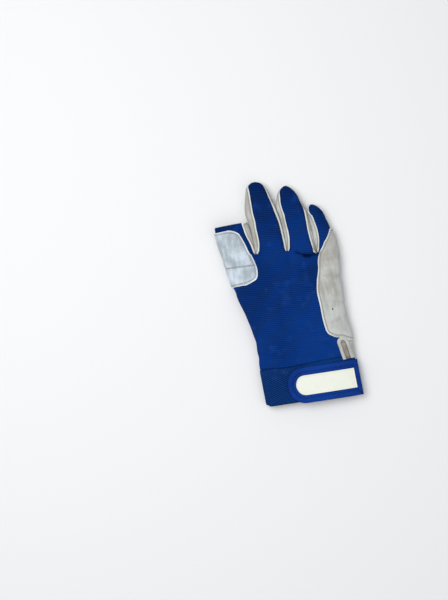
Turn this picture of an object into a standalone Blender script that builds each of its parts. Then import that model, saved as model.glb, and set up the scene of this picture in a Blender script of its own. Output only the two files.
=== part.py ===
"""Right-hand rigger glove, lying palm down with its thumb folded under the palm.

X runs across the hand towards the little finger, Y from the cuff to the fingertips, Z up.
The hand is one hollow skin. A ring of angles at each height along Y gives its section:
90 degrees is the crown of the back, 180 the index side, 270 the palm, 0 the little-finger side.
Panels are open sheets on the inside of that skin, and Solidify gives them their wall outwards.
Patches and strips are sheets laid on its outside.
"""
import math
from collections import namedtuple

import bmesh
import bpy
from mathutils import Vector

MM = 0.001

# Lengths along the hand
CUFF_LENGTH = 37 * MM
PALM_LENGTH = 120 * MM
INDEX_LENGTH = 36 * MM
MIDDLE_LENGTH = 76 * MM
RING_LENGTH = 66 * MM
LITTLE_LENGTH = 51 * MM

# Widths and heights of the hand
PALM_WIDTH = 112 * MM
HAND_HEIGHT = 23 * MM
FINGER_HEIGHT = 15.5 * MM
CUFF_HEIGHT = 14 * MM
CUFF_MOUTH_SKEW = 4 * MM

# The thumb, from its root across the palm to its open end
THUMB_REACH = 60 * MM
THUMB_WIDTH = 37.5 * MM
THUMB_HEIGHT = 9 * MM
THUMB_LEAN = math.radians(41.6)
THUMB_VEE_DEPTH = 32 * MM
THUMB_VEE_WIDTH = 12.5 * MM
VEE_PAST = 6 * MM
INSERT_MARGIN = 2 * MM
INSERT_BACK = 1.5 * MM
INSERT_TIP = 0.08

# Walls of cloth, leather and rubber
CLOTH_WALL = 1.2 * MM
LEATHER_WALL = 1.2 * MM
CUFF_WALL = 2.0 * MM
STRAP_WALL = 1.5 * MM
BINDING_WALL = 1.5 * MM
RUBBER_WALL = 1.0 * MM
INSERT_WALL = 1.0 * MM

# The wrist strap with its binding and pull patch
STRAP_LENGTH = 72 * MM
STRAP_WIDTH = 37 * MM
STRAP_CENTRE = 15 * MM
STRAP_TILT = 3 * MM
STRAP_INSET = 0.3 * MM
BINDING_WIDTH = 5 * MM
END_BINDING_WIDTH = 2.5 * MM
PULL_END_ROOM = 4 * MM
PULL_SIDE_ROOM = 6.5 * MM
PULL_LENGTH = STRAP_LENGTH - BINDING_WIDTH - END_BINDING_WIDTH - PULL_END_ROOM
PULL_WIDTH = STRAP_WIDTH - 2 * BINDING_WIDTH - PULL_SIDE_ROOM
STRIP_SWEEP = 0.985
ROUND_POWER = 2.4

# The bound slit at the wrist
VENT_WIDTH = 13 * MM
VENT_LENGTH = 17 * MM
VENT_STRIP = 3 * MM
VENT_PLACE = 0.375 * PALM_WIDTH
VENT_LEG = 0.3

# Clearances
SEAM_GAP = 0.5 * MM
LAYER_GAP = 0.3 * MM
PATCH_GAP = 0.9 * MM
TRIM_GAP = 0.7 * MM

# Columns of a panel on each finger, steps along it, and how many of them its side walls run to
PANEL_COLUMNS = 5
FINGER_STEPS = 12
WALL_STEPS = 11
STUB_STEPS = 5
WALL_COLUMNS = 4

# Rows of the back, of the palm below and above the thumb's web, and of the thumb
BACK_ROWS = 16
HEEL_ROWS = 11
WEB_ROWS = 5
THUMB_STATIONS = 8
THUMB_COLUMNS = 10
CUFF_COLUMNS = 36
CUFF_ROWS = 5

# Section shapes: a power of 2 is an ellipse, and a higher one is squarer
HAND_POWER = 2.6
FINGER_POWER = 2.3
SETTLE = 1.2
SPREAD_FROM = 0.72
THUMB_FALL = 13 * MM
THUMB_CLEAR = 2.5 * MM

RADIAL_WRAP = 35
INDEX_WRAP = 30
ULNAR_WRAP = 10
UNDER_SEAM = 35
TIP_TURN = 88
TIP_BEND = 0.6
TIP_CROWD = 1.2
CLOSE_ENDS = 0.7
MOUTH_PIVOT = 0.25
SHARP_ANGLE = 40

# Heights at which the layers rest
PALM_REST = LEATHER_WALL + PATCH_GAP
THUMB_STACK = THUMB_HEIGHT + LAYER_GAP

# Along is a share of the palm length, left and right of the palm width, crown and side of the height
Body = namedtuple("Body", "along left right crown side")
BODY = (
    Body(0.00, -0.442, 0.451, 0.62, 0.28),
    Body(0.19, -0.430, 0.451, 0.80, 0.33),
    Body(0.36, -0.434, 0.438, 0.93, 0.35),
    Body(0.48, -0.456, 0.440, 0.98, 0.35),
    Body(0.61, -0.500, 0.446, 1.00, 0.35),
    Body(0.71, -0.526, 0.451, 1.00, 0.35),
    Body(0.78, -0.536, 0.456, 0.97, 0.34),
    Body(0.90, -0.554, 0.466, 0.87, 0.34),
    Body(1.00, -0.563, 0.473, 0.76, 0.34),
)

# Along is a share of the finger length, left and right of the palm width. The seams are degrees
# above the side of the finger, and a negative one lies under it.
Row = namedtuple("Row", "along left right seam_left seam_right")
INDEX_ROWS = (
    Row(0.00, -0.563, -0.271, -INDEX_WRAP, 30),
    Row(0.35, -0.580, -0.274, -INDEX_WRAP, 38),
    Row(0.65, -0.592, -0.279, -INDEX_WRAP, 48),
    Row(0.85, -0.598, -0.286, -INDEX_WRAP, 49),
    Row(1.00, -0.601, -0.295, -INDEX_WRAP, 49),
)
MIDDLE_ROWS = (
    Row(0.00, -0.265, 0.020, 35, 30),
    Row(0.17, -0.270, 0.019, 48, 31),
    Row(0.37, -0.271, 0.015, 48, 33),
    Row(0.47, -0.282, 0.005, 55, 33),
    Row(0.56, -0.297, -0.007, 60, 33),
    Row(0.66, -0.291, -0.021, 59, 33),
    Row(0.76, -0.277, -0.041, 56, 33),
    Row(0.85, -0.264, -0.057, 52, 32),
    Row(0.92, -0.248, -0.075, 45, 28),
    Row(0.97, -0.225, -0.101, 26, 18),
    Row(1.00, -0.192, -0.138, 2, 2),
)
RING_ROWS = (
    Row(0.00, 0.025, 0.281, 35, 40),
    Row(0.20, 0.023, 0.279, 46, 44),
    Row(0.42, 0.020, 0.271, 46, 39),
    Row(0.55, 0.014, 0.259, 48, 30),
    Row(0.65, 0.003, 0.245, 51, 27),
    Row(0.74, 0.006, 0.229, 48, 27),
    Row(0.83, 0.018, 0.208, 44, 27),
    Row(0.92, 0.039, 0.180, 36, 24),
    Row(0.97, 0.066, 0.155, 22, 16),
    Row(1.00, 0.093, 0.134, 2, 2),
)
LITTLE_ROWS = (
    Row(0.00, 0.293, 0.473, 30, -ULNAR_WRAP),
    Row(0.22, 0.286, 0.471, 57, -ULNAR_WRAP),
    Row(0.43, 0.284, 0.455, 65, -ULNAR_WRAP),
    Row(0.61, 0.277, 0.439, 64, -ULNAR_WRAP),
    Row(0.75, 0.276, 0.422, 55, -ULNAR_WRAP),
    Row(0.84, 0.273, 0.405, 42, -ULNAR_WRAP),
    Row(0.92, 0.279, 0.380, 33, -ULNAR_WRAP),
    Row(0.97, 0.290, 0.357, 20, -ULNAR_WRAP),
    Row(1.00, 0.304, 0.339, 2, -ULNAR_WRAP),
)

# Root is a share of the palm length, and cap is where along the finger its end starts to close
Finger = namedtuple("Finger", "root length cap rows")
FINGERS = (
    Finger(1.0, INDEX_LENGTH, None, INDEX_ROWS),
    Finger(1.0, MIDDLE_LENGTH, 0.80, MIDDLE_ROWS),
    Finger(1.0, RING_LENGTH, 0.78, RING_ROWS),
    Finger(0.925, LITTLE_LENGTH, 0.72, LITTLE_ROWS),
)

# The borders of the fingers across the hand, 0 at the index side and 4 at the little-finger side
Border = namedtuple("Border", "along across crotch")
BORDERS = (
    Border(0, 0.000, 1.000),
    Border(1, 0.285, 1.008),
    Border(2, 0.565, 0.983),
    Border(3, 0.823, 0.925),
    Border(4, 1.000, 0.917),
)

# Thumb sections along its reach: half width in thumb widths, turn in degrees from the X axis
ThumbRow = namedtuple("ThumbRow", "along half turn")
THUMB_ROWS = (
    ThumbRow(0.00, 0.96, 109.5),
    ThumbRow(0.35, 0.75, 118.0),
    ThumbRow(0.70, 0.58, 126.0),
    ThumbRow(1.00, 0.50, 133.5),
)
THUMB_ROOT_ACROSS = -0.223
THUMB_ROOT_ALONG = 0.45

# The thenar cover, from the cuff to the thumb's root. Left is a share of the palm length on the
# index side, and right and up are the cut edge of the palm in palm widths and lengths.
CoverRow = namedtuple("CoverRow", "along left right up")
COVER_ROWS = (
    CoverRow(0.00, 0.004, -0.062, 0.004),
    CoverRow(0.25, 0.18, -0.082, 0.045),
    CoverRow(0.50, 0.36, -0.098, 0.085),
    CoverRow(0.75, 0.55, -0.108, 0.120),
    CoverRow(1.00, 0.728, -0.115, 0.155),
)

# Place across the index border where the cover's outer edge runs
COVER_INSET = 0.02

# Patches: along is a share of the palm length, start and end are places across the fingers' borders
Patch = namedtuple("Patch", "along start end")
INDEX_PATCH = (
    Patch(0.769, 0.10, 0.70),
    Patch(0.783, 0.06, 0.84),
    Patch(0.810, 0.05, 0.92),
    Patch(0.875, 0.05, 0.955),
    Patch(0.925, 0.05, 0.93),
    Patch(1.025, 0.05, 0.88),
    Patch(1.130, 0.05, 0.85),
    Patch(1.200, 0.06, 0.78),
    Patch(1.240, 0.08, 0.66),
    Patch(1.258, 0.12, 0.45),
)
SIDE_PATCH = (
    Patch(0.132, 3.63, 3.97),
    Patch(0.150, 3.42, 3.97),
    Patch(0.172, 3.24, 3.97),
    Patch(0.196, 2.96, 3.97),
    Patch(0.225, 2.76, 3.97),
    Patch(0.275, 2.68, 3.97),
    Patch(0.480, 2.68, 3.97),
    Patch(0.590, 2.69, 3.97),
    Patch(0.690, 2.80, 3.97),
    Patch(0.790, 2.95, 3.97),
    Patch(0.875, 3.06, 3.97),
    Patch(0.942, 3.17, 3.97),
    Patch(1.008, 3.25, 3.97),
    Patch(1.067, 3.45, 3.97),
    Patch(1.108, 3.66, 3.97),
)
PALM_PATCH = (
    Patch(0.195, 2.15, 3.93),
    Patch(0.300, 2.25, 3.93),
    Patch(0.420, 2.50, 3.93),
    Patch(0.545, 2.85, 3.93),
)
# Finger strips: along is a share of the finger length
MIDDLE_STRIP = (Patch(0.06, 1.16, 1.80), Patch(0.45, 1.16, 1.80), Patch(0.75, 1.20, 1.76))
RING_STRIP = (Patch(0.06, 2.16, 2.80), Patch(0.45, 2.16, 2.80), Patch(0.71, 2.20, 2.76))
LITTLE_STRIP = (Patch(0.18, 3.30, 3.80), Patch(0.45, 3.30, 3.80), Patch(0.68, 3.34, 3.76))

COLOURS = {
    "cloth": ((0.004, 0.031, 0.220, 1.0), 0.85),
    "binding": ((0.005, 0.040, 0.260, 1.0), 0.80),
    "leather": ((0.560, 0.540, 0.470, 1.0), 0.75),
    "pale_leather": ((0.480, 0.550, 0.620, 1.0), 0.70),
    "rubber": ((0.860, 0.860, 0.760, 1.0), 0.55),
}


def blend(start, end, share):
    """Value the given share of the way from start to end."""
    return start + (end - start) * share


def ease(share):
    """Share with a smooth start and end, held between 0 and 1."""
    share = min(1.0, max(0.0, share))
    return share * share * (3 - 2 * share)


def slope(rows, place, column):
    """Slope of a table column at one of its rows, from the rows on either side."""
    before = rows[max(place - 1, 0)]
    after = rows[min(place + 1, len(rows) - 1)]
    return (getattr(after, column) - getattr(before, column)) / (after.along - before.along)


def read(rows, along, column):
    """Smooth value of a table column at a place between its rows."""
    along = min(max(along, rows[0].along), rows[-1].along)
    place = max(k for k in range(len(rows) - 1) if rows[k].along <= along)
    low, high = rows[place], rows[place + 1]
    span = high.along - low.along
    share = (along - low.along) / span
    start, end = getattr(low, column), getattr(high, column)
    rise = slope(rows, place, column) * span * share * (1 - share) ** 2
    fall = slope(rows, place + 1, column) * span * share ** 2 * (1 - share)
    return blend(start, end, ease(share)) + rise - fall


def power_of(value, power):
    """Signed power of a cosine or sine, which squares the section off."""
    return math.copysign(abs(value) ** power, value)


def palm_line(share):
    """Y of a share of the palm length above the cuff."""
    return CUFF_LENGTH + PALM_LENGTH * share


def palm_share(y):
    """Share of the palm length at a Y."""
    return (y - CUFF_LENGTH) / PALM_LENGTH


def crotch_y(across):
    """Y where the body of the hand ends and the fingers start."""
    return palm_line(read(BORDERS, across, "crotch"))


def thumb_ends(along):
    """Left and right ends, seen from above, of a thumb section."""
    root_x = THUMB_ROOT_ACROSS * PALM_WIDTH
    root_y = palm_line(THUMB_ROOT_ALONG)
    centre = Vector((root_x + THUMB_REACH * along * math.cos(THUMB_LEAN),
                     root_y + THUMB_REACH * along * math.sin(THUMB_LEAN), 0))
    turn = math.radians(read(THUMB_ROWS, along, "turn"))
    half = Vector((math.cos(turn), math.sin(turn), 0)) * THUMB_WIDTH * read(THUMB_ROWS, along, "half")
    return centre + half, centre - half


def cut_edge():
    """Points of the palm's cut edge, from the cuff up to the web and on to the first crotch."""
    web, heel = thumb_ends(0)
    edge = [Vector((row.right * PALM_WIDTH, palm_line(row.up), 0)) for row in COVER_ROWS]
    left, right = sides(crotch_y(1))
    crotch = Vector((blend(left, right, BORDERS[1].across), crotch_y(1), 0))
    return edge + [heel, web, crotch]


def on_edge(points, y):
    """X of a chain of points at a Y."""
    for low, high in zip(points, points[1:]):
        if y <= high.y:
            break
    return blend(low.x, high.x, (y - low.y) / (high.y - low.y))


def distance_to(point, start, end):
    """Distance in plan from a point to a straight stretch."""
    line = end - start
    share = min(1.0, max(0.0, (point - start).dot(line) / line.length_squared))
    return (point - start - line * share).length


def thumb_outline():
    """Corners of the thumb seen from above."""
    sections = [thumb_ends(k / 4) for k in range(5)]
    return [left for left, right in sections] + [right for left, right in reversed(sections)]


THUMB_OUTLINE = thumb_outline()


def thumb_under(x, y):
    """How much of the thumb's height lifts the palm here, from 0 to 1."""
    point = Vector((x, y, 0))
    stretches = list(zip(THUMB_OUTLINE, THUMB_OUTLINE[1:] + THUMB_OUTLINE[:1]))
    crossings = 0
    for start, end in stretches:
        if (start.y > y) != (end.y > y):
            crossings += x < blend(start.x, end.x, (y - start.y) / (end.y - start.y))
    if crossings % 2:
        return 1.0
    distance = min(distance_to(point, start, end) for start, end in stretches)
    return ease(1 - (distance - THUMB_CLEAR) / THUMB_FALL)


def rest_height(x, y):
    """Height of the outer face of the palm where it rests, on the thumb or on its own patches."""
    return blend(PALM_REST, THUMB_STACK, thumb_under(x, y))


def sides(y):
    """Left and right of the inside of the body of the hand at a Y."""
    share = palm_share(y)
    left = PALM_WIDTH * read(BODY, share, "left") + CLOTH_WALL
    return left, PALM_WIDTH * read(BODY, share, "right") - CLOTH_WALL


def section(ends, heights, angle, power, out):
    """X and Z on a squared-off oval, moved out along its normal.

    The heights are those of its side, its crown and its floor. The lower half settles on the floor.
    """
    left, right = ends
    side, crown, floor = heights
    half = (right - left) / 2
    across = power_of(math.cos(angle), 2 / power)
    height = power_of(math.sin(angle), 2 / power)
    if height >= 0:
        rise = crown - side
        z = side + rise * height
    else:
        rise = SETTLE * max(side - floor, MM)
        z = blend(side, floor, min(1, -height * SETTLE))
    normal = Vector((power_of(math.cos(angle), 2 - 2 / power) / half,
                     power_of(math.sin(angle), 2 - 2 / power) / rise))
    if height * SETTLE <= -1:
        normal = Vector((0, -1))
    normal.normalize()
    return (left + right) / 2 + half * across + out * normal.x, z + out * normal.y


def body_point(y, angle, lift):
    """Point of the body of the hand at a Y and an angle, lifted from its outer face."""
    share = palm_share(y)
    side = HAND_HEIGHT * read(BODY, share, "side")
    crown = HAND_HEIGHT * read(BODY, share, "crown") - CLOTH_WALL
    ends = sides(y)
    x = blend(*ends, (power_of(math.cos(angle), 2 / HAND_POWER) + 1) / 2)
    floor = rest_height(x, y) + CLOTH_WALL
    x, z = section(ends, (side, crown, floor), angle, HAND_POWER, CLOTH_WALL + lift)
    return Vector((x, y, z))


def finger_point(finger, y, angle, lift):
    """Point of a finger at a Y and an angle. The end closes in a quarter turn."""
    along = (y - palm_line(finger.root)) / finger.length
    cap, shift = 1.0, 0.0
    if finger.cap and along > finger.cap:
        shift = min(1.0, (along - finger.cap) / (1 - finger.cap))
        cap = math.sqrt(1 - shift * shift)
    left = PALM_WIDTH * read(finger.rows, along, "left") + CLOTH_WALL
    right = PALM_WIDTH * read(finger.rows, along, "right") - CLOTH_WALL
    side = (PALM_REST + FINGER_HEIGHT) / 2
    rise = ((FINGER_HEIGHT - PALM_REST) / 2 - CLOTH_WALL) * cap
    heights = (side, side + rise, side - rise)
    out = CLOTH_WALL + lift
    x, z = section((left, right), heights, angle, FINGER_POWER, out * blend(1, cap, shift))
    if math.sin(angle) < 0:
        z = max(z, rest_height(x, y) - lift)
    return Vector((x, y + lift * shift, z))


def body_angle(y, x):
    """Angle on the upper half of the body's section that has the given X."""
    left, right = sides(y)
    across = max(-1.0, min(1.0, (2 * x - left - right) / (right - left)))
    return math.acos(power_of(across, HAND_POWER / 2))


def border_angles(y, under):
    """Angles of the five finger borders on the body's section at a Y."""
    left, right = sides(y)
    places = [blend(left, right, border.across) for border in BORDERS[1:4]]
    if under:
        places[0] = on_edge(CUT_EDGE, y)
    middle = [body_angle(y, x) for x in places]
    gap = SEAM_GAP / HAND_HEIGHT
    first = math.radians(180 + RADIAL_WRAP)
    last = math.radians(-ULNAR_WRAP)
    if under:
        turned = [2 * math.pi - angle for angle in middle]
        return [first + gap] + turned + [2 * math.pi + last - gap]
    return [first - gap] + middle + [last + gap]


CUT_EDGE = cut_edge()


def under_seam(degrees):
    """Degrees below the side of a finger of the seam under the one above it."""
    if degrees < 0:
        return -degrees
    return min(degrees, UNDER_SEAM)


def finger_angles(finger, y, under):
    """Angles of a finger panel's two edges, with half a seam gap taken off each."""
    along = (y - palm_line(finger.root)) / finger.length
    left = read(finger.rows, along, "seam_left")
    right = read(finger.rows, along, "seam_right")
    gap = SEAM_GAP / FINGER_HEIGHT
    if under:
        return (math.radians(180 + under_seam(left)) + gap, math.radians(360 - under_seam(right)) - gap)
    return math.radians(180 - left) - gap, math.radians(right) + gap


def skin(group, share, y, lift, under):
    """Point of the hand on one finger's part of its width, body and finger blended at the knuckles."""
    finger = FINGERS[group]
    rise = (y - CUFF_LENGTH) / (crotch_y(group + share) - CUFF_LENGTH)
    spread = ease((rise - SPREAD_FROM) / (1 - SPREAD_FROM))
    start, end = finger_angles(finger, y, under)
    tube = finger_point(finger, y, blend(start, end, share), lift)
    if spread == 1.0:
        return tube
    angles = border_angles(y, under)
    body = body_point(y, blend(angles[group], angles[group + 1], share), lift)
    return body.lerp(tube, spread)


def hand_point(across, y, lift, under):
    """Point of the hand at a place across the finger borders, where its two sides run together."""
    group = min(int(across), len(FINGERS) - 1)
    point = skin(group, across - group, y, lift, under)
    border = round(across)
    nearness = 1 - abs(across - border) * PANEL_COLUMNS
    if border in (0, len(FINGERS)) or nearness <= 0:
        return point
    if group == border:
        return point.lerp(skin(border - 1, 1.0, y, lift, under), nearness / 2)
    return point.lerp(skin(border, 0.0, y, lift, under), nearness / 2)


def finger_y(finger, start, share):
    """Y along a finger from its crotch to its end, in closer steps where the end closes."""
    root = palm_line(finger.root)
    if not finger.cap:
        return blend(start, root + finger.length, share)
    cap = root + finger.length * finger.cap
    if share <= TIP_BEND:
        return blend(start, cap, (share / TIP_BEND) ** TIP_CROWD)
    turn = math.radians(TIP_TURN) * (share - TIP_BEND) / (1 - TIP_BEND)
    return cap + finger.length * (1 - finger.cap) * math.sin(turn)


def material(name):
    """Material of the given name with its colour and roughness."""
    colour, roughness = COLOURS[name]
    made = bpy.data.materials.get(name) or bpy.data.materials.new(name)
    made.use_nodes = True
    shader = made.node_tree.nodes["Principled BSDF"]
    shader.inputs["Base Color"].default_value = colour
    shader.inputs["Roughness"].default_value = roughness
    shader.inputs["Metallic"].default_value = 0.0
    return made


def finish(name, mesh, finish_name, collection, root):
    """Object of a mesh, in its collection, with its material and parent."""
    piece = bpy.data.objects.new(name, mesh)
    mesh.materials.append(material(finish_name))
    mesh.shade_smooth()
    mesh.set_sharp_from_angle(angle=math.radians(SHARP_ANGLE))
    collection.objects.link(piece)
    piece.parent = root
    return piece


def sheet(name, patches, wall, finish_name, collection, root):
    """Sheet of one or more grids, each given by columns, rows and a function of two shares."""
    shape = bmesh.new()
    for columns, rows, place in patches:
        grid = bmesh.ops.create_grid(shape, x_segments=columns, y_segments=rows, size=1)
        for vertex in grid["verts"]:
            across = round((vertex.co.x + 1) / 2 * columns) / columns
            along = round((vertex.co.y + 1) / 2 * rows) / rows
            vertex.co = place(across, along)
    bmesh.ops.remove_doubles(shape, verts=shape.verts, dist=0.01 * MM)
    mesh = bpy.data.meshes.new(name)
    shape.to_mesh(mesh)
    shape.free()
    piece = finish(name, mesh, finish_name, collection, root)
    solid = piece.modifiers.new("wall", "SOLIDIFY")
    solid.thickness = wall
    solid.offset = 1
    return piece


def back_panel(collection, root):
    """Blue back of the hand with the backs of the fingers."""
    bottom = CUFF_LENGTH + SEAM_GAP
    patches = []
    for group, finger in enumerate(FINGERS):
        def hand(across, along, group=group):
            place = group + across
            return hand_point(place, blend(bottom, crotch_y(place), along), -CLOTH_WALL, False)

        def tube(across, along, group=group, finger=finger):
            place = group + across
            if along == 0:
                return hand_point(place, crotch_y(place), -CLOTH_WALL, False)
            return skin(group, across, finger_y(finger, crotch_y(place), along), -CLOTH_WALL, False)

        patches.append((PANEL_COLUMNS, BACK_ROWS, hand))
        patches.append((PANEL_COLUMNS, finger_steps(finger), tube))
    return sheet("back_panel", patches, CLOTH_WALL, "cloth", collection, root)


def palm_panel(collection, root):
    """Leather palm with the fronts of the fingers, left out where the thumb's cover lies."""
    bottom = CUFF_LENGTH + SEAM_GAP
    web = thumb_ends(0)[0].y + LEATHER_WALL + SEAM_GAP
    web_share = (web - bottom) / (crotch_y(1) - bottom)
    patches = []
    for group, finger in enumerate(FINGERS):
        def heel(across, along, group=group):
            place = group + 1 - across
            y = blend(bottom, crotch_y(place), web_share * along)
            point = hand_point(place, y, -LEATHER_WALL, True)
            if place == 1:
                point.x += SEAM_GAP
            return point

        def hand(across, along, group=group):
            place = group + 1 - across
            y = blend(bottom, crotch_y(place), blend(web_share, 1, along))
            point = hand_point(place, y, -LEATHER_WALL, True)
            if place == 1 and along == 0:
                point.x += SEAM_GAP
            return point

        def tube(across, along, group=group, finger=finger):
            place = group + 1 - across
            if along == 0:
                return hand_point(place, crotch_y(place), -LEATHER_WALL, True)
            return skin(group, 1 - across, finger_y(finger, crotch_y(place), along), -LEATHER_WALL, True)

        if group > 0:
            patches.append((PANEL_COLUMNS, HEEL_ROWS, heel))
        patches.append((PANEL_COLUMNS, WEB_ROWS, hand))
        patches.append((PANEL_COLUMNS, finger_steps(finger), tube))
    return sheet("palm_panel", patches, LEATHER_WALL, "leather", collection, root)


def fourchette(name, first, collection, root):
    """Side walls of two neighbouring fingers, joined in a fold at their crotch."""
    near, far = FINGERS[first], FINGERS[first + 1]
    border = BORDERS[first + 1].along
    gap = SEAM_GAP / FINGER_HEIGHT

    def wall_point(finger, y, down, right_side):
        along = (y - palm_line(finger.root)) / finger.length
        seam = read(finger.rows, along, "seam_right" if right_side else "seam_left")
        degrees = blend(seam, -under_seam(seam), down)
        angle = math.radians(degrees) + gap * (2 * down - 1)
        return finger_point(finger, y, angle if right_side else math.pi - angle, -LEATHER_WALL)

    near_steps, far_steps = wall_steps(near), wall_steps(far)
    start = crotch_y(border)

    def place(up, along):
        down = 1 - up
        step = round(along * (near_steps + far_steps)) - near_steps
        if step < 0:
            return wall_point(near, finger_y(near, start, -step / finger_steps(near)), down, True)
        if step > 0:
            return wall_point(far, finger_y(far, start, step / finger_steps(far)), down, False)
        return wall_point(near, start, down, True).lerp(wall_point(far, start, down, False), 0.5)

    grid = (WALL_COLUMNS, near_steps + far_steps, place)
    return sheet(name, [grid], LEATHER_WALL, "leather", collection, root)


def finger_steps(finger):
    """Steps of the panels along a finger."""
    return FINGER_STEPS if finger.cap else STUB_STEPS


def wall_steps(finger):
    """Steps along a finger that its side walls run to."""
    return WALL_STEPS if finger.cap else STUB_STEPS


def cover_ends(share):
    """Left and right ends of a section of the thumb's cover, between the cuff and the thumb's root."""
    y = palm_line(read(COVER_ROWS, share, "left"))
    left = hand_point(COVER_INSET, y, -LEATHER_WALL, True)
    edge_y = palm_line(read(COVER_ROWS, share, "up"))
    palm_edge = hand_point(1.0, edge_y, -LEATHER_WALL, True)
    height = min(palm_edge.z, THUMB_HEIGHT / 2)
    return left, Vector((palm_edge.x - 2 * SEAM_GAP, edge_y, height))


def tube_ends(share):
    """Left and right ends of a section of the thumb, at half its height."""
    left, right = thumb_ends(share)
    raised = Vector((0, 0, THUMB_HEIGHT / 2))
    return left + raised, right + raised


def thumb(collection, root, cutters):
    """Thumb tube, open at its end, with the cover over the ball of the thumb."""
    def across_section(ends, level, across):
        left, right = ends
        point = left.lerp(right, (1 - math.cos(math.pi * across)) / 2)
        pull = min(1, SETTLE * max(0, math.sin(math.pi * across)) ** (2 / FINGER_POWER))
        point.z = blend(point.z, level, pull)
        return point

    def lower(across, along):
        station = round(2 * THUMB_STATIONS * along)
        if station < THUMB_STATIONS:
            ends = cover_ends(station / (THUMB_STATIONS - 1))
        else:
            ends = tube_ends((station - THUMB_STATIONS) / THUMB_STATIONS)
        return across_section(ends, LEATHER_WALL, 1 - across)

    def upper(across, along):
        return across_section(tube_ends(along), THUMB_HEIGHT - LEATHER_WALL, across)

    patches = [(THUMB_COLUMNS, 2 * THUMB_STATIONS, lower), (THUMB_COLUMNS, THUMB_STATIONS, upper)]
    piece = sheet("thumb", patches, LEATHER_WALL, "leather", collection, root)
    notch = piece.modifiers.new("vee", "BOOLEAN")
    notch.operation = "DIFFERENCE"
    notch.object = vee_cutter(cutters, root)
    return piece


def vee_frame():
    """End of the thumb: its middle, the direction along it and the direction across it."""
    left, right = thumb_ends(1)
    across = (right - left).normalized()
    along = Vector((-across.y, across.x, 0))
    return (left + right) / 2, along, across


def vee_corners(past, margin):
    """Tip and two open corners of the thumb's notch, past its end and widened by a margin."""
    centre, along, across = vee_frame()
    tip = centre - along * (THUMB_VEE_DEPTH + margin)
    half = across * (THUMB_VEE_WIDTH / 2 + margin)
    return tip, centre + along * past - half, centre + along * past + half


def vee_cutter(cutters, root):
    """Prism that cuts the notch through the lower wall of the thumb."""
    shape = bmesh.new()
    corners = [shape.verts.new(corner) for corner in vee_corners(VEE_PAST, 0)]
    shape.faces.new(corners)
    raised = bmesh.ops.extrude_face_region(shape, geom=shape.faces[:])
    top = [item for item in raised["geom"] if isinstance(item, bmesh.types.BMVert)]
    bmesh.ops.translate(shape, verts=top, vec=(0, 0, 2 * LEATHER_WALL))
    bmesh.ops.translate(shape, verts=shape.verts, vec=(0, 0, -LEATHER_WALL / 2))
    bmesh.ops.recalc_face_normals(shape, faces=shape.faces)
    mesh = bpy.data.meshes.new("thumb_vee_cutter")
    shape.to_mesh(mesh)
    shape.free()
    cutter = bpy.data.objects.new("thumb_vee_cutter", mesh)
    cutters.objects.link(cutter)
    cutter.parent = root
    cutter.hide_render = True
    cutter.display_type = "WIRE"
    return cutter


def thumb_insert(collection, root):
    """Blue cloth behind the notch, on the inside of the thumb's lower wall."""
    tip, left, right = vee_corners(-INSERT_BACK, INSERT_MARGIN)
    height = LEATHER_WALL + LAYER_GAP

    def place(across, along):
        width = blend(INSERT_TIP, 1.0, along)
        low = tip.lerp((left + right) / 2, along)
        point = low + (right - left) * (across - 0.5) * width
        return Vector((point.x, point.y, height))

    return sheet("thumb_insert", [(2, 4, place)], INSERT_WALL, "cloth", collection, root)


def cuff_sides():
    """Left and right of the inside of the cuff."""
    left, right = sides(CUFF_LENGTH)
    return left + CUFF_WALL - CLOTH_WALL, right - CUFF_WALL + CLOTH_WALL


def cuff_point(y, angle, lift):
    """Point of the cuff at a Y and an angle, lifted from its outer face."""
    heights = (CUFF_HEIGHT / 2, CUFF_HEIGHT - CUFF_WALL, CUFF_WALL)
    x, z = section(cuff_sides(), heights, angle, HAND_POWER, CUFF_WALL + lift)
    return Vector((x, y, z))


def cuff_band(collection, root):
    """Ribbed ring at the wrist, with its mouth a little askew."""
    def place(across, along):
        point = cuff_point(0, math.pi - 2 * math.pi * across, -CUFF_WALL)
        mouth = -CUFF_MOUTH_SKEW * (point.x / PALM_WIDTH + MOUTH_PIVOT)
        point.y = blend(mouth, CUFF_LENGTH - SEAM_GAP / 2, along)
        return point

    return sheet("cuff_band", [(CUFF_COLUMNS, CUFF_ROWS, place)], CUFF_WALL, "cloth", collection, root)


def cuff_angle(x):
    """Angle on the cuff's upper half that has the given X."""
    left, right = cuff_sides()
    across = max(-1.0, min(1.0, (2 * x - left - right) / (right - left)))
    return math.acos(power_of(across, HAND_POWER / 2))


def round_end(share, length, width):
    """Share of the half width of a strip whose far end is round, at a share of its length."""
    start = 1 - width / 2 / length
    if share <= start:
        return 1.0
    return math.sqrt(max(0.0, 1 - ((share - start) / (1 - start)) ** ROUND_POWER))


def strap_point(run, side, length, width, shift, lift):
    """Point on the cuff at a share of the way round from the strap's square end, and across it."""
    end = cuff_sides()[1] - STRAP_INSET - shift
    angle = blend(cuff_angle(end), cuff_angle(end - length), math.sin(math.pi / 2 * run))
    point = cuff_point(0, angle, lift)
    along = end - cuff_point(0, angle, -CUFF_WALL).x
    centre = STRAP_CENTRE + STRAP_TILT * ((along + shift) / STRAP_LENGTH - 0.5)
    point.y = centre + side * width / 2 * round_end(along / length, length, width)
    return point


def round_strip(name, size, shift, lift, wall, finish_name, collection, root):
    """Strip on the cuff, square at the little-finger side and round at the other."""
    def place(across, along):
        return strap_point(STRIP_SWEEP * (1 - across), 2 * along - 1, *size, shift, lift)

    return sheet(name, [(20, 4, place)], wall, finish_name, collection, root)


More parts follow.
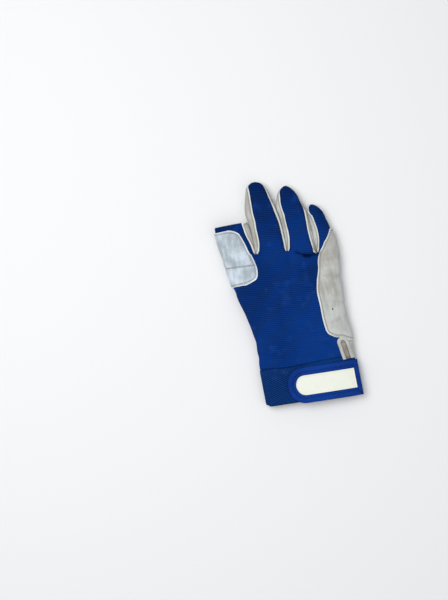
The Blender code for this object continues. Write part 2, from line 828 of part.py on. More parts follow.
def strap_binding(collection, root):
    """Folded binding round the edge of the strap."""
    lift = LAYER_GAP + STRAP_WALL + TRIM_GAP

    def frame(run, side, across):
        inset = BINDING_WIDTH * (1 - across)
        end_inset = END_BINDING_WIDTH * (1 - across)
        length = STRAP_LENGTH - inset - end_inset
        return strap_point(run, side, length, STRAP_WIDTH - 2 * inset, end_inset, lift)

    def round_rim(across, along):
        return frame(1 - abs(2 * along - 1), math.copysign(1, 0.5 - along), across)

    def square_end(across, along):
        return frame(0, 2 * along - 1, across)

    patches = [(2, 40, round_rim), (2, 4, square_end)]
    return sheet("strap_binding", patches, BINDING_WALL, "binding", collection, root)


def vent_binding(collection, root):
    """Leather loop that binds the slit beside the cuff."""
    straight = VENT_LENGTH - VENT_WIDTH / 2
    bottom = CUFF_LENGTH + 2 * SEAM_GAP

    def place(across, along):
        half = VENT_WIDTH / 2 - VENT_STRIP * across
        if along < VENT_LEG:
            x, y = -half, straight * along / VENT_LEG
        elif along > 1 - VENT_LEG:
            x, y = half, straight * (1 - along) / VENT_LEG
        else:
            turn = math.pi * (1 - VENT_LEG - along) / (1 - 2 * VENT_LEG)
            x, y = half * math.cos(turn), straight + half * math.sin(turn)
        y += bottom
        return body_point(y, body_angle(y, x + VENT_PLACE), PATCH_GAP)

    return sheet("vent_binding", [(2, 20, place)], LEATHER_WALL, "leather", collection, root)


def patch_sheet(name, table, steps, under, finger, finish_name, collection, root):
    """Patch laid on the outside of the hand, its edges read from a table."""
    columns, rows = steps
    first, last = table[0].along, table[-1].along

    def place(across, along):
        share = blend(first, last, blend(along, (1 - math.cos(math.pi * along)) / 2, CLOSE_ENDS))
        start, end = read(table, share, "start"), read(table, share, "end")
        y = palm_line(share)
        if finger:
            y = palm_line(finger.root) + finger.length * share
        spot = blend(start, end, 1 - across if under else across)
        return hand_point(spot, y, PATCH_GAP, under)

    return sheet(name, [(columns, rows, place)], LEATHER_WALL, finish_name, collection, root)


def settle(root, pieces):
    """Set the glove on the floor, with its origin under the middle of its box."""
    bpy.context.view_layer.update()
    graph = bpy.context.evaluated_depsgraph_get()
    corners = []
    for piece in pieces:
        shape = piece.evaluated_get(graph)
        corners += [piece.matrix_world @ Vector(corner) for corner in shape.bound_box]
    low = Vector([min(corner[k] for corner in corners) for k in range(3)])
    high = Vector([max(corner[k] for corner in corners) for k in range(3)])
    root.location = (-(low.x + high.x) / 2, -(low.y + high.y) / 2, -low.z)


def main():
    """Build the glove."""
    for old in list(bpy.data.objects):
        bpy.data.objects.remove(old, do_unlink=True)
    collection = bpy.data.collections.new("rigger_glove")
    cutters = bpy.data.collections.new("cutters")
    bpy.context.scene.collection.children.link(collection)
    bpy.context.scene.collection.children.link(cutters)
    root = bpy.data.objects.new("glove_root", None)
    collection.objects.link(root)

    pieces = [back_panel(collection, root), palm_panel(collection, root)]
    pieces.append(fourchette("fourchette_index_middle", 0, collection, root))
    pieces.append(fourchette("fourchette_middle_ring", 1, collection, root))
    pieces.append(fourchette("fourchette_ring_little", 2, collection, root))
    pieces.append(patch_sheet("index_patch", INDEX_PATCH, (10, 12), False, None, "pale_leather",
                              collection, root))
    pieces.append(patch_sheet("side_patch", SIDE_PATCH, (10, 18), False, None, "leather", collection, root))
    pieces.append(patch_sheet("palm_patch", PALM_PATCH, (8, 10), True, None, "leather", collection, root))
    for name, table, finger in (("middle_strip", MIDDLE_STRIP, FINGERS[1]),
                                ("ring_strip", RING_STRIP, FINGERS[2]),
                                ("little_strip", LITTLE_STRIP, FINGERS[3])):
        pieces.append(patch_sheet(name, table, (3, 8), True, finger, "leather", collection, root))
    pieces.append(thumb(collection, root, cutters))
    pieces.append(thumb_insert(collection, root))
    pieces.append(cuff_band(collection, root))
    pieces.append(round_strip("strap", (STRAP_LENGTH, STRAP_WIDTH), 0, LAYER_GAP, STRAP_WALL, "cloth",
                              collection, root))
    pieces.append(strap_binding(collection, root))
    pieces.append(round_strip("strap_patch", (PULL_LENGTH, PULL_WIDTH), END_BINDING_WIDTH + SEAM_GAP,
                              LAYER_GAP + STRAP_WALL + TRIM_GAP, RUBBER_WALL, "rubber", collection, root))
    pieces.append(vent_binding(collection, root))
    settle(root, pieces)


main()
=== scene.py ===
"""Looks of a right-hand rigger glove that lies palm down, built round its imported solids.

The hand is one surface. A ring of angles at each height along Y gives its section: 90 degrees is the
crown of the back, 180 the index side, 270 the palm and 0 the little-finger side. Panels, patches, seams
and stitches are all placed on that surface, so that each layer follows the folds of the one under it.
"""
from __future__ import annotations

import logging
import math
from collections.abc import Callable, Sequence
from dataclasses import dataclass
from enum import Enum

import bmesh
import bpy
from mathutils import Matrix, Vector, kdtree, noise


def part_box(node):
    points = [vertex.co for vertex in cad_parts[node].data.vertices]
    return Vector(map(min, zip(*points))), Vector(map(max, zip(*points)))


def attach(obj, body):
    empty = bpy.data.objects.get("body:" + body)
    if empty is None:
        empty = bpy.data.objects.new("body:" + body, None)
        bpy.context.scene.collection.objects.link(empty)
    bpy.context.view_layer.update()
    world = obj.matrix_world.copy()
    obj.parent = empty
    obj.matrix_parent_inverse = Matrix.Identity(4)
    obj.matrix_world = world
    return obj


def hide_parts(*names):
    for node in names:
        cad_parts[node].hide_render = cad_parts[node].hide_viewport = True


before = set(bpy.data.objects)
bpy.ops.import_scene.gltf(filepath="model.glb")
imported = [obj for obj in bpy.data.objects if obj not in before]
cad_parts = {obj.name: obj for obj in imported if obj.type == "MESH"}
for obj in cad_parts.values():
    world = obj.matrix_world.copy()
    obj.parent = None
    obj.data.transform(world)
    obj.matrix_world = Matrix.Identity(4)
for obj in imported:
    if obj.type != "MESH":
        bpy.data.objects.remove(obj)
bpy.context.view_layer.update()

LOG = logging.getLogger("rigger_glove")
MM = 0.001

Place = Callable[[float, float], Vector]


class Side(Enum):
    """Which face of the hand a layer belongs to."""

    BACK = "back"
    PALM = "palm"


@dataclass(frozen=True)
class BodyRow:
    """Section of the body of the hand, in shares of the palm length, width and height."""

    along: float
    left: float
    right: float
    crown: float
    side: float


@dataclass(frozen=True)
class FingerRow:
    """Section of a finger, with the degrees above its side at which its seams run."""

    along: float
    left: float
    right: float
    seam_left: float
    seam_right: float


@dataclass(frozen=True)
class Finger:
    """One finger: where it starts, its length, where its end closes and its sections."""

    root: float
    length: float
    cap: float | None
    rows: tuple[FingerRow, ...]


@dataclass(frozen=True)
class Border:
    """Border between two fingers, numbered from the index side, with its share across the hand."""

    along: float
    across: float
    crotch: float


@dataclass(frozen=True)
class ThumbRow:
    """Section of the thumb: half width in thumb widths and turn in degrees from the X axis."""

    along: float
    half: float
    turn: float


@dataclass(frozen=True)
class CoverRow:
    """Section of the leather over the ball of the thumb, between the cuff and the thumb's root."""

    along: float
    left: float
    right: float
    up: float


@dataclass(frozen=True)
class PatchRow:
    """Width of a patch at a share of a length, between two places across the finger borders."""

    along: float
    start: float
    end: float


@dataclass(frozen=True)
class Fold:
    """Valley along a straight stretch seen from above, in millimetres. A negative depth is a ridge."""

    start: tuple[float, float]
    end: tuple[float, float]
    width: float
    depth: float


@dataclass(frozen=True)
class Ripple:
    """Noise on the skin: height in ripples, and how close its waves are across and along the hand."""

    height: float
    across: float
    along: float
    start: float


BODY = (
    BodyRow(0.00, -0.442, 0.451, 0.62, 0.28),
    BodyRow(0.19, -0.430, 0.451, 0.80, 0.33),
    BodyRow(0.36, -0.434, 0.438, 0.93, 0.35),
    BodyRow(0.48, -0.456, 0.440, 0.98, 0.35),
    BodyRow(0.61, -0.500, 0.446, 1.00, 0.35),
    BodyRow(0.71, -0.526, 0.451, 1.00, 0.35),
    BodyRow(0.78, -0.536, 0.456, 0.97, 0.34),
    BodyRow(0.90, -0.554, 0.466, 0.87, 0.34),
    BodyRow(1.00, -0.563, 0.473, 0.76, 0.34),
)
INDEX_ROWS = (
    FingerRow(0.00, -0.563, -0.271, -30, 30),
    FingerRow(0.35, -0.580, -0.274, -30, 38),
    FingerRow(0.65, -0.592, -0.279, -30, 48),
    FingerRow(0.85, -0.598, -0.286, -30, 49),
    FingerRow(1.00, -0.601, -0.295, -30, 49),
)
MIDDLE_ROWS = (
    FingerRow(0.00, -0.265, 0.020, 35, 30),
    FingerRow(0.17, -0.270, 0.019, 48, 31),
    FingerRow(0.37, -0.271, 0.015, 48, 33),
    FingerRow(0.47, -0.282, 0.005, 55, 33),
    FingerRow(0.56, -0.297, -0.007, 60, 33),
    FingerRow(0.66, -0.291, -0.020, 59, 29),
    FingerRow(0.76, -0.277, -0.038, 56, 26),
    FingerRow(0.85, -0.264, -0.053, 52, 24),
    FingerRow(0.92, -0.248, -0.070, 41, 19),
    FingerRow(0.97, -0.225, -0.096, 17, 10),
    FingerRow(1.00, -0.192, -0.138, 2, 2),
)
RING_ROWS = (
    FingerRow(0.00, 0.025, 0.281, 35, 40),
    FingerRow(0.20, 0.023, 0.279, 46, 44),
    FingerRow(0.42, 0.020, 0.271, 46, 39),
    FingerRow(0.55, 0.014, 0.259, 48, 30),
    FingerRow(0.65, 0.003, 0.245, 51, 24),
    FingerRow(0.74, 0.006, 0.231, 48, 22),
    FingerRow(0.83, 0.018, 0.212, 44, 20),
    FingerRow(0.92, 0.039, 0.184, 33, 17),
    FingerRow(0.97, 0.066, 0.158, 14, 9),
    FingerRow(1.00, 0.093, 0.134, 2, 2),
)
LITTLE_ROWS = (
    FingerRow(0.00, 0.293, 0.473, 30, -10),
    FingerRow(0.22, 0.286, 0.471, 57, -10),
    FingerRow(0.43, 0.284, 0.455, 65, -10),
    FingerRow(0.61, 0.277, 0.439, 64, -10),
    FingerRow(0.75, 0.276, 0.422, 55, -10),
    FingerRow(0.84, 0.273, 0.405, 42, -10),
    FingerRow(0.92, 0.279, 0.380, 33, -10),
    FingerRow(0.97, 0.290, 0.357, 20, -10),
    FingerRow(1.00, 0.304, 0.339, 2, -10),
)
FINGERS = (
    Finger(1.0, 36 * MM, None, INDEX_ROWS),
    Finger(1.0, 76 * MM, 0.80, MIDDLE_ROWS),
    Finger(1.0, 66 * MM, 0.78, RING_ROWS),
    Finger(0.925, 51 * MM, 0.72, LITTLE_ROWS),
)
BORDERS = (
    Border(0, 0.000, 1.000),
    Border(1, 0.285, 1.008),
    Border(2, 0.565, 0.983),
    Border(3, 0.823, 0.925),
    Border(4, 1.000, 0.917),
)
THUMB_ROWS = (
    ThumbRow(0.00, 0.96, 109.5),
    ThumbRow(0.35, 0.75, 118.0),
    ThumbRow(0.70, 0.58, 126.0),
    ThumbRow(1.00, 0.50, 133.5),
)
COVER_ROWS = (
    CoverRow(0.00, 0.004, -0.062, 0.004),
    CoverRow(0.25, 0.18, -0.082, 0.045),
    CoverRow(0.50, 0.36, -0.098, 0.085),
    CoverRow(0.75, 0.55, -0.108, 0.120),
    CoverRow(1.00, 0.728, -0.115, 0.155),
)
INDEX_PATCH = (
    PatchRow(0.769, 0.09, 0.73),
    PatchRow(0.781, 0.06, 0.83),
    PatchRow(0.805, 0.05, 0.90),
    PatchRow(0.875, 0.05, 0.935),
    PatchRow(0.925, 0.05, 0.92),
    PatchRow(0.975, 0.05, 0.885),
    PatchRow(1.025, 0.05, 0.845),
    PatchRow(1.130, 0.05, 0.83),
    PatchRow(1.185, 0.05, 0.825),
    PatchRow(1.218, 0.05, 0.81),
    PatchRow(1.240, 0.05, 0.75),
    PatchRow(1.254, 0.05, 0.64),
)
SIDE_PATCH = (
    PatchRow(0.132, 3.63, 3.97),
    PatchRow(0.150, 3.42, 3.97),
    PatchRow(0.172, 3.24, 3.97),
    PatchRow(0.196, 2.96, 3.97),
    PatchRow(0.225, 2.76, 3.97),
    PatchRow(0.275, 2.68, 3.97),
    PatchRow(0.480, 2.68, 3.97),
    PatchRow(0.590, 2.69, 3.97),
    PatchRow(0.690, 2.80, 3.97),
    PatchRow(0.790, 2.95, 3.97),
    PatchRow(0.875, 3.06, 3.97),
    PatchRow(0.942, 3.17, 3.97),
    PatchRow(1.008, 3.25, 3.97),
    PatchRow(1.067, 3.45, 3.97),
    PatchRow(1.108, 3.66, 3.97),
)
PALM_PATCH = (
    PatchRow(0.195, 2.15, 3.93),
    PatchRow(0.300, 2.25, 3.93),
    PatchRow(0.420, 2.50, 3.93),
    PatchRow(0.545, 2.85, 3.93),
)
MIDDLE_STRIP = (PatchRow(0.06, 1.16, 1.80), PatchRow(0.45, 1.16, 1.80), PatchRow(0.75, 1.20, 1.76))
RING_STRIP = (PatchRow(0.06, 2.16, 2.80), PatchRow(0.45, 2.16, 2.80), PatchRow(0.71, 2.20, 2.76))
LITTLE_STRIP = (PatchRow(0.18, 3.30, 3.80), PatchRow(0.45, 3.30, 3.80), PatchRow(0.68, 3.34, 3.76))

BACK_FOLDS = (
    Fold((11, 152.5), (24, 146), 2.4, 2.3),
    Fold((19, 146.5), (33.5, 147.5), 2.7, 2.2),
    Fold((13, 157), (29, 152), 3.6, -1.0),
    Fold((16, 142), (32, 140), 4.0, -0.7),
    Fold((-62, 149.5), (-33, 147.5), 1.2, 1.3),
    Fold((-47, 92), (-30, 62), 9.0, -1.0),
    Fold((-49, 70), (-24, 52), 5.0, 0.7),
    Fold((-48, 52), (-8, 47), 4.0, 0.6),
    Fold((-20, 43), (20, 41), 4.0, 0.5),
    Fold((16, 58), (34, 47), 3.5, 0.9),
    Fold((10, 70), (24, 62), 5.0, 0.5),
    Fold((-59, 124), (-38, 117), 4.0, 0.9),
    Fold((-36, 128), (-30, 108), 4.0, 0.6),
    Fold((-30, 158), (-28, 146), 3.5, 0.9),
    Fold((3, 155), (3, 142), 3.5, 0.8),
    Fold((31, 147), (29, 136), 3.0, 0.6),
    Fold((-24, 197), (-5, 193), 3.2, 0.5),
    Fold((-24, 211), (-8, 214), 3.0, 0.4),
    Fold((-26, 222), (-11, 221), 1.4, 0.8),
    Fold((5, 212), (20, 210), 1.4, 0.7),
    Fold((8, 193), (26, 189), 3.2, 0.5),
    Fold((10, 207), (23, 204), 3.0, 0.4),
    Fold((35, 186), (48, 181), 2.6, 0.5),
    Fold((30, 98), (50, 92), 3.2, 0.5),
    Fold((32, 124), (52, 120), 3.2, 0.4),
    Fold((30, 74), (48, 78), 3.0, 0.4),
)
PALM_FOLDS = (
    Fold((-56, 144), (-10, 141), 1.6, 0.7),
    Fold((12, 134), (50, 131), 1.6, 0.6),
    Fold((-30, 137), (-10, 141), 3.0, 0.7),
    Fold((-12, 58), (48, 55), 1.6, 0.5),
    Fold((10, 118), (46, 112), 3.5, 0.6),
    Fold((-25, 190), (-4, 188), 2.5, 0.6),
    Fold((5, 184), (27, 182), 2.5, 0.6),
    Fold((34, 172), (48, 170), 2.5, 0.5),
)


RIPPLES = (
    Ripple(2.2, 22, 16, 9),
    Ripple(1.0, 45, 38, 0),
    Ripple(0.5, 120, 95, 3),
)


def blend(start: float, end: float, share: float) -> float:
    """Value the given share of the way from start to end."""
    return start + (end - start) * share


def ease(share: float) -> float:
    """Share with a smooth start and end, held between 0 and 1."""
    share = min(1.0, max(0.0, share))
    return share * share * (3 - 2 * share)


def bell(distance: float, width: float) -> float:
    """Smooth bump of height 1 that falls away over the width."""
    return math.exp(-((distance / width) ** 2))


def signed_power(value: float, power: float) -> float:
    """Signed power of a cosine or sine, which squares a section off."""
    return math.copysign(abs(value) ** power, value)


def slope(rows: Sequence, place: int, column: str) -> float:
    """Slope of a table column at one of its rows, from the rows on either side."""
    before = rows[max(place - 1, 0)]
    after = rows[min(place + 1, len(rows) - 1)]
    return (getattr(after, column) - getattr(before, column)) / (after.along - before.along)


def read(rows: Sequence, along: float, column: str) -> float:
    """Smooth value of a table column at a place between its rows.

    Args:
        rows: Table rows, in order of their place along a length.
        along: Place along that length.
        column: Name of the column to read.

    Returns:
        The value, held at the ends of the table.
    """
    along = min(max(along, rows[0].along), rows[-1].along)
    place = 0
    while place < len(rows) - 2 and rows[place + 1].along <= along:
        place += 1
    low, high = rows[place], rows[place + 1]
    span = high.along - low.along
    share = (along - low.along) / span
    start, end = getattr(low, column), getattr(high, column)
    rise = slope(rows, place, column) * span * share * (1 - share) ** 2
    fall = slope(rows, place + 1, column) * span * share**2 * (1 - share)
    return blend(start, end, ease(share)) + rise - fall


def distance_to(point: Vector, start: Vector, end: Vector) -> float:
    """Distance in plan from a point to a straight stretch."""
    line = end - start
    share = min(1.0, max(0.0, (point - start).dot(line) / line.length_squared))
    return (point - start - line * share).length


@dataclass(frozen=True)
class HandForm:
    """Surface of the hand, thumb and cuff, in the glove's own frame with the cuff's mouth at Y 0."""

    cuff_length: float = 37 * MM
    palm_length: float = 120 * MM
    palm_width: float = 112 * MM
    hand_height: float = 23 * MM
    finger_height: float = 15.5 * MM
    cuff_height: float = 14 * MM
    mouth_skew: float = 4 * MM
    mouth_pivot: float = 0.25
    thumb_reach: float = 60 * MM
    thumb_width: float = 37.5 * MM
    thumb_height: float = 9 * MM
    thumb_lean: float = math.radians(41.6)
    thumb_root: tuple[float, float] = (-0.223, 0.45)
    cloth_wall: float = 1.2 * MM
    leather_wall: float = 1.2 * MM
    cuff_wall: float = 2.0 * MM
    seam_gap: float = 0.12 * MM
    layer_gap: float = 0.3 * MM
    patch_gap: float = 0.9 * MM
    patch_lift: float = 0.405 * MM
    hand_power: float = 2.6
    finger_power: float = 2.3
    settle: float = 1.2
    spread_from: float = 0.72
    thumb_fall: float = 13 * MM
    thumb_clear: float = 2.5 * MM
    radial_wrap: float = 35
    ulnar_wrap: float = 10
    under_seam_limit: float = 35
    tip_turn: float = 89.2
    tip_bend: float = 0.6
    tip_crowd: float = 1.2
    border_soft: float = 5
    crotch_round: float = 4.5 * MM
    crotch_least: float = 0.12
    cover_inset: float = 0.02
    ripple: float = 0.28 * MM
    seam_rise: float = 2.4 * MM

    @property
    def palm_rest(self) -> float:
        """Height of the palm's outer face where it rests on its patches."""
        return self.leather_wall + self.patch_gap

    def palm_line(self, share: float) -> float:
        """Y of a share of the palm length above the cuff."""
        return self.cuff_length + self.palm_length * share

    def palm_share(self, y: float) -> float:
        """Share of the palm length at a Y."""
        return (y - self.cuff_length) / self.palm_length

    def crotch_y(self, across: float) -> float:
        """Y where the body of the hand ends and the fingers start."""
        return self.palm_line(read(BORDERS, across, "crotch"))

    def finger_along(self, finger: Finger, y: float) -> float:
        """Share of a finger's length at a Y."""
        return (y - self.palm_line(finger.root)) / finger.length

    def thumb_ends(self, along: float) -> tuple[Vector, Vector]:
        """Left and right ends, seen from above, of a thumb section."""
        reach = self.thumb_reach * along
        centre = Vector((
            self.thumb_root[0] * self.palm_width + reach * math.cos(self.thumb_lean),
            self.palm_line(self.thumb_root[1]) + reach * math.sin(self.thumb_lean),
            0,
        ))
        turn = math.radians(read(THUMB_ROWS, along, "turn"))
        half = Vector((math.cos(turn), math.sin(turn), 0))
        half *= self.thumb_width * read(THUMB_ROWS, along, "half")
        return centre + half, centre - half

    def cut_edge(self) -> list[Vector]:
        """Points of the palm's cut edge, from the cuff up to the web and on to the first crotch."""
        web, heel = self.thumb_ends(0)
        edge = [Vector((row.right * self.palm_width, self.palm_line(row.up), 0)) for row in COVER_ROWS]
        left, right = self.sides(self.crotch_y(1))
        crotch = Vector((blend(left, right, BORDERS[1].across), self.crotch_y(1), 0))
        return edge + [heel, web, crotch]

    def on_cut_edge(self, y: float) -> float:
        """X of the palm's cut edge at a Y."""
        points = CUT_EDGE
        for low, high in zip(points, points[1:]):
            if y <= high.y:
                break
        return blend(low.x, high.x, (y - low.y) / (high.y - low.y))

    def thumb_outline(self) -> list[Vector]:
        """Corners of the thumb seen from above."""
        sections = [self.thumb_ends(k / 4) for k in range(5)]
        return [left for left, _ in sections] + [right for _, right in reversed(sections)]

    def thumb_under(self, x: float, y: float) -> float:
        """How much of the thumb's height lifts the palm at a place, from 0 to 1."""
        point = Vector((x, y, 0))
        stretches = list(zip(THUMB_OUTLINE, THUMB_OUTLINE[1:] + THUMB_OUTLINE[:1]))
        crossings = 0
        for start, end in stretches:
            if (start.y > y) != (end.y > y):
                crossings += x < blend(start.x, end.x, (y - start.y) / (end.y - start.y))
        if crossings % 2:
            return 1.0
        distance = min(distance_to(point, start, end) for start, end in stretches)
        return ease(1 - (distance - self.thumb_clear) / self.thumb_fall)

    def rest_height(self, x: float, y: float) -> float:
        """Height of the palm's outer face where it rests, on the thumb or on its own patches."""
        return blend(self.palm_rest, self.thumb_height + self.layer_gap, self.thumb_under(x, y))

    def sides(self, y: float) -> tuple[float, float]:
        """Left and right of the inside of the body of the hand at a Y."""
        share = self.palm_share(y)
        left = self.palm_width * read(BODY, share, "left") + self.cloth_wall
        return left, self.palm_width * read(BODY, share, "right") - self.cloth_wall

    def section(
        self,
        ends: tuple[float, float],
        heights: tuple[float, float, float],
        angle: float,
        power: float,
        out: float,
    ) -> tuple[float, float]:
        """X and Z on a squared-off oval whose lower half settles on its floor.

        Args:
            ends: Left and right of the oval.
            heights: Heights of its side, its crown and its floor.
            angle: Angle round the oval.
            power: 2 is an ellipse, and more is squarer.
            out: Distance outwards along the oval's normal.

        Returns:
            X and Z.
        """
        left, right = ends
        side, crown, floor = heights
        half = (right - left) / 2
        height = signed_power(math.sin(angle), 2 / power)
        if height >= 0:
            rise = crown - side
            z = side + rise * height
        else:
            rise = self.settle * max(side - floor, MM)
            z = blend(side, floor, min(1, -height * self.settle))
        normal = Vector((
            signed_power(math.cos(angle), 2 - 2 / power) / half,
            signed_power(math.sin(angle), 2 - 2 / power) / rise,
        ))
        if height * self.settle <= -1:
            normal = Vector((0, -1))
        normal.normalize()
        x = (left + right) / 2 + half * signed_power(math.cos(angle), 2 / power)
        return x + out * normal.x, z + out * normal.y

    def folds(self, x: float, y: float, side: Side) -> float:
        """Lift of the surface at a place seen from above, from its folds."""
        point = Vector((x / MM, y / MM, 0))
        lift = 0.0
        for fold in BACK_FOLDS if side is Side.BACK else PALM_FOLDS:
            distance = distance_to(point, Vector((*fold.start, 0)), Vector((*fold.end, 0)))
            if distance < 3 * fold.width:
                lift -= fold.depth * MM * bell(distance, fold.width)
        return lift

    def wrinkle(self, x: float, y: float, side: Side) -> float:
        """Lift of the surface at a place seen from above, from its folds and a soft ripple."""
        lift = self.folds(x, y, side)
        layer = 0 if side is Side.BACK else 1
        for ripple in RIPPLES:
            spot = Vector((x * ripple.across, y * ripple.along, ripple.start + layer))
            lift += ripple.height * self.ripple * noise.noise(spot)
        return lift if side is Side.BACK else min(lift, 0.0)

    def body_point(self, y: float, angle: float, lift: float) -> Vector:
        """Point of the body of the hand at a Y and an angle, lifted from its outer face."""
        share = self.palm_share(y)
        side = self.hand_height * read(BODY, share, "side")
        crown = self.hand_height * read(BODY, share, "crown") - self.cloth_wall
        ends = self.sides(y)
        x = blend(*ends, (signed_power(math.cos(angle), 2 / self.hand_power) + 1) / 2)
        floor = 0.0
        if math.sin(angle) < 0:
            floor = self.rest_height(x, y) + self.cloth_wall
        out = self.cloth_wall + lift
        x, z = self.section(ends, (side, crown, floor), angle, self.hand_power, out)
        return Vector((x, y, z))

    def finger_point(self, finger: Finger, y: float, angle: float, lift: float) -> Vector:
        """Point of a finger at a Y and an angle. The end closes in a quarter turn."""
        along = self.finger_along(finger, y)
        cap, shift = 1.0, 0.0
        if finger.cap and along > finger.cap:
            shift = min(1.0, (along - finger.cap) / (1 - finger.cap))
            cap = math.sqrt(1 - shift * shift)
        left = self.palm_width * read(finger.rows, along, "left") + self.cloth_wall
        right = self.palm_width * read(finger.rows, along, "right") - self.cloth_wall
        side = (self.palm_rest + self.finger_height) / 2
        rise = ((self.finger_height - self.palm_rest) / 2 - self.cloth_wall) * cap
        out = (self.cloth_wall + lift) * blend(1, cap, shift)
        x, z = self.section((left, right), (side, side + rise, side - rise), angle, self.finger_power, out)
        if math.sin(angle) < 0:
            z = max(z, self.rest_height(x, y) - lift)
        return Vector((x, y + lift * shift, z))

    def seam_y(self, point: Vector) -> float:
        """Y of the seam between the cuff and the back at a place, higher on the index side."""
        rise = ease((-15 * MM - point.x) / (35 * MM)) * ease((point.z - 3 * MM) / (5 * MM))
        return self.cuff_length + self.seam_rise * rise

    def body_angle(self, y: float, x: float) -> float:
        """Angle on the upper half of the body's section that has the given X."""
        left, right = self.sides(y)
        across = max(-1.0, min(1.0, (2 * x - left - right) / (right - left)))
        return math.acos(signed_power(across, self.hand_power / 2))

    def border_angles(self, y: float, side: Side) -> list[float]:
        """Angles of the five finger borders on the body's section at a Y."""
        left, right = self.sides(y)
        places = [blend(left, right, border.across) for border in BORDERS[1:4]]
        if side is Side.PALM:
            places[0] = self.on_cut_edge(y)
        middle = [self.body_angle(y, x) for x in places]
        gap = self.seam_gap / self.hand_height
        first = math.radians(180 + self.radial_wrap)
        last = math.radians(-self.ulnar_wrap)
        if side is Side.PALM:
            turned = [2 * math.pi - angle for angle in middle]
            return [first + gap] + turned + [2 * math.pi + last - gap]
        return [first - gap] + middle + [last + gap]

    def under_seam(self, degrees: float) -> float:
        """Degrees below the side of a finger of the seam under the one above it."""
        return -degrees if degrees < 0 else min(degrees, self.under_seam_limit)

    def opening(self, border: int, y: float) -> float:
        """How far a seam has turned from a crotch to its place on the finger, from 0 to 1."""
        if border in (0, len(FINGERS)):
            return 1.0
        share = min(1.0, abs(y - self.crotch_y(border)) / self.crotch_round)
        return max(self.crotch_least, (share * (2 - share)) ** 0.25)

    def seams(self, group: int, y: float, dipped: bool = True) -> tuple[float, float]:
        """Degrees above the sides of a finger at which its two seams run, with their dips at the crotches."""
        rows = FINGERS[group].rows
        along = self.finger_along(FINGERS[group], y)
        left, right = read(rows, along, "seam_left"), read(rows, along, "seam_right")
        if dipped:
            return left * self.opening(group, y), right * self.opening(group + 1, y)
        return left, right

    def finger_sides(self, group: int, y: float) -> tuple[float, float]:
        """Left and right of the outside of a finger at a Y."""
        rows = FINGERS[group].rows
        along = self.finger_along(FINGERS[group], y)
        return self.palm_width * read(rows, along, "left"), self.palm_width * read(rows, along, "right")

    def finger_angles(self, group: int, y: float, side: Side, dipped: bool) -> tuple[float, float]:
        """Angles of a finger panel's two edges."""
        left, right = self.seams(group, y, dipped)
        gap = self.seam_gap / self.finger_height
        if side is Side.PALM:
            start = math.radians(180 + self.under_seam(left)) + gap
            return start, math.radians(360 - self.under_seam(right)) - gap
        return math.radians(180 - left) - gap, math.radians(right) + gap

    def tube_angle(self, group: int, share: float, y: float, side: Side) -> float:
        """Angle round a finger at a share between its seams. A dip reaches a quarter of the way in."""
        start, end = self.finger_angles(group, y, side, False)
        low, high = self.finger_angles(group, y, side, True)
        angle = blend(start, end, share)
        return angle + (low - start) * ease(1 - 4 * share) + (high - end) * ease(4 * share - 3)

    def skin(self, group: int, share: float, y: float, lift: float, side: Side) -> Vector:
        """Point of the hand on one finger's part of its width, body and finger blended at the knuckles."""
        finger = FINGERS[group]
        rise = (y - self.cuff_length) / (self.crotch_y(group + share) - self.cuff_length)
        spread = ease((rise - self.spread_from) / (1 - self.spread_from))
        tube = self.finger_point(finger, y, self.tube_angle(group, share, y, side), lift)
        if spread == 1.0:
            return tube
        angles = self.border_angles(y, side)
        body = self.body_point(y, blend(angles[group], angles[group + 1], share), lift)
        return body.lerp(tube, spread)

    def joined(self, across: float, y: float, lift: float, side: Side) -> Vector:
        """Point at a place across the finger borders, where the two sides of a border run together."""
        group = min(int(across), len(FINGERS) - 1)
        point = self.skin(group, across - group, y, lift, side)
        border = round(across)
        nearness = 1 - abs(across - border) * self.border_soft
        if border in (0, len(FINGERS)) or nearness <= 0:
            return point
        if group == border:
            return point.lerp(self.skin(border - 1, 1.0, y, lift, side), nearness / 2)
        return point.lerp(self.skin(border, 0.0, y, lift, side), nearness / 2)

    def hand_point(self, across: float, y: float, lift: float, side: Side) -> Vector:
        """Point of the body of the hand with its folds."""
        plain = self.joined(across, y, lift, side)
        return self.joined(across, y, lift + self.wrinkle(plain.x, plain.y, side), side)

    def tube_point(self, group: int, share: float, y: float, lift: float, side: Side) -> Vector:
        """Point of a finger with its folds, which die away where its end closes."""
        plain = self.skin(group, share, y, lift, side)
        finger = FINGERS[group]
        calm = 1.0
        if finger.cap:
            calm = 1 - ease((self.finger_along(finger, y) - finger.cap) / (1 - finger.cap))
        return self.skin(group, share, y, lift + calm * self.wrinkle(plain.x, plain.y, side), side)

    def finger_y(self, finger: Finger, start: float, share: float) -> float:
        """Y along a finger from its crotch to its end, in closer steps where the end closes."""
        root = self.palm_line(finger.root)
        if not finger.cap:
            return blend(start, root + finger.length, share)
        cap = root + finger.length * finger.cap
        if share <= self.tip_bend:
            return blend(start, cap, (share / self.tip_bend) ** self.tip_crowd)
        turn = math.radians(self.tip_turn) * (share - self.tip_bend) / (1 - self.tip_bend)
        return cap + finger.length * (1 - finger.cap) * math.sin(turn)

    def cuff_sides(self) -> tuple[float, float]:
        """Left and right of the inside of the cuff."""
        left, right = self.sides(self.cuff_length)
        return left + self.cuff_wall - self.cloth_wall, right - self.cuff_wall + self.cloth_wall

    def cuff_point(self, y: float, angle: float, lift: float) -> Vector:
        """Point of the cuff at a Y and an angle, lifted from its outer face."""
        heights = (self.cuff_height / 2, self.cuff_height - self.cuff_wall, self.cuff_wall)
        x, z = self.section(self.cuff_sides(), heights, angle, self.hand_power, self.cuff_wall + lift)
        return Vector((x, y, z))

    def cuff_angle(self, x: float) -> float:
        """Angle on the cuff's upper half that has the given X."""
        left, right = self.cuff_sides()
        across = max(-1.0, min(1.0, (2 * x - left - right) / (right - left)))
        return math.acos(signed_power(across, self.hand_power / 2))


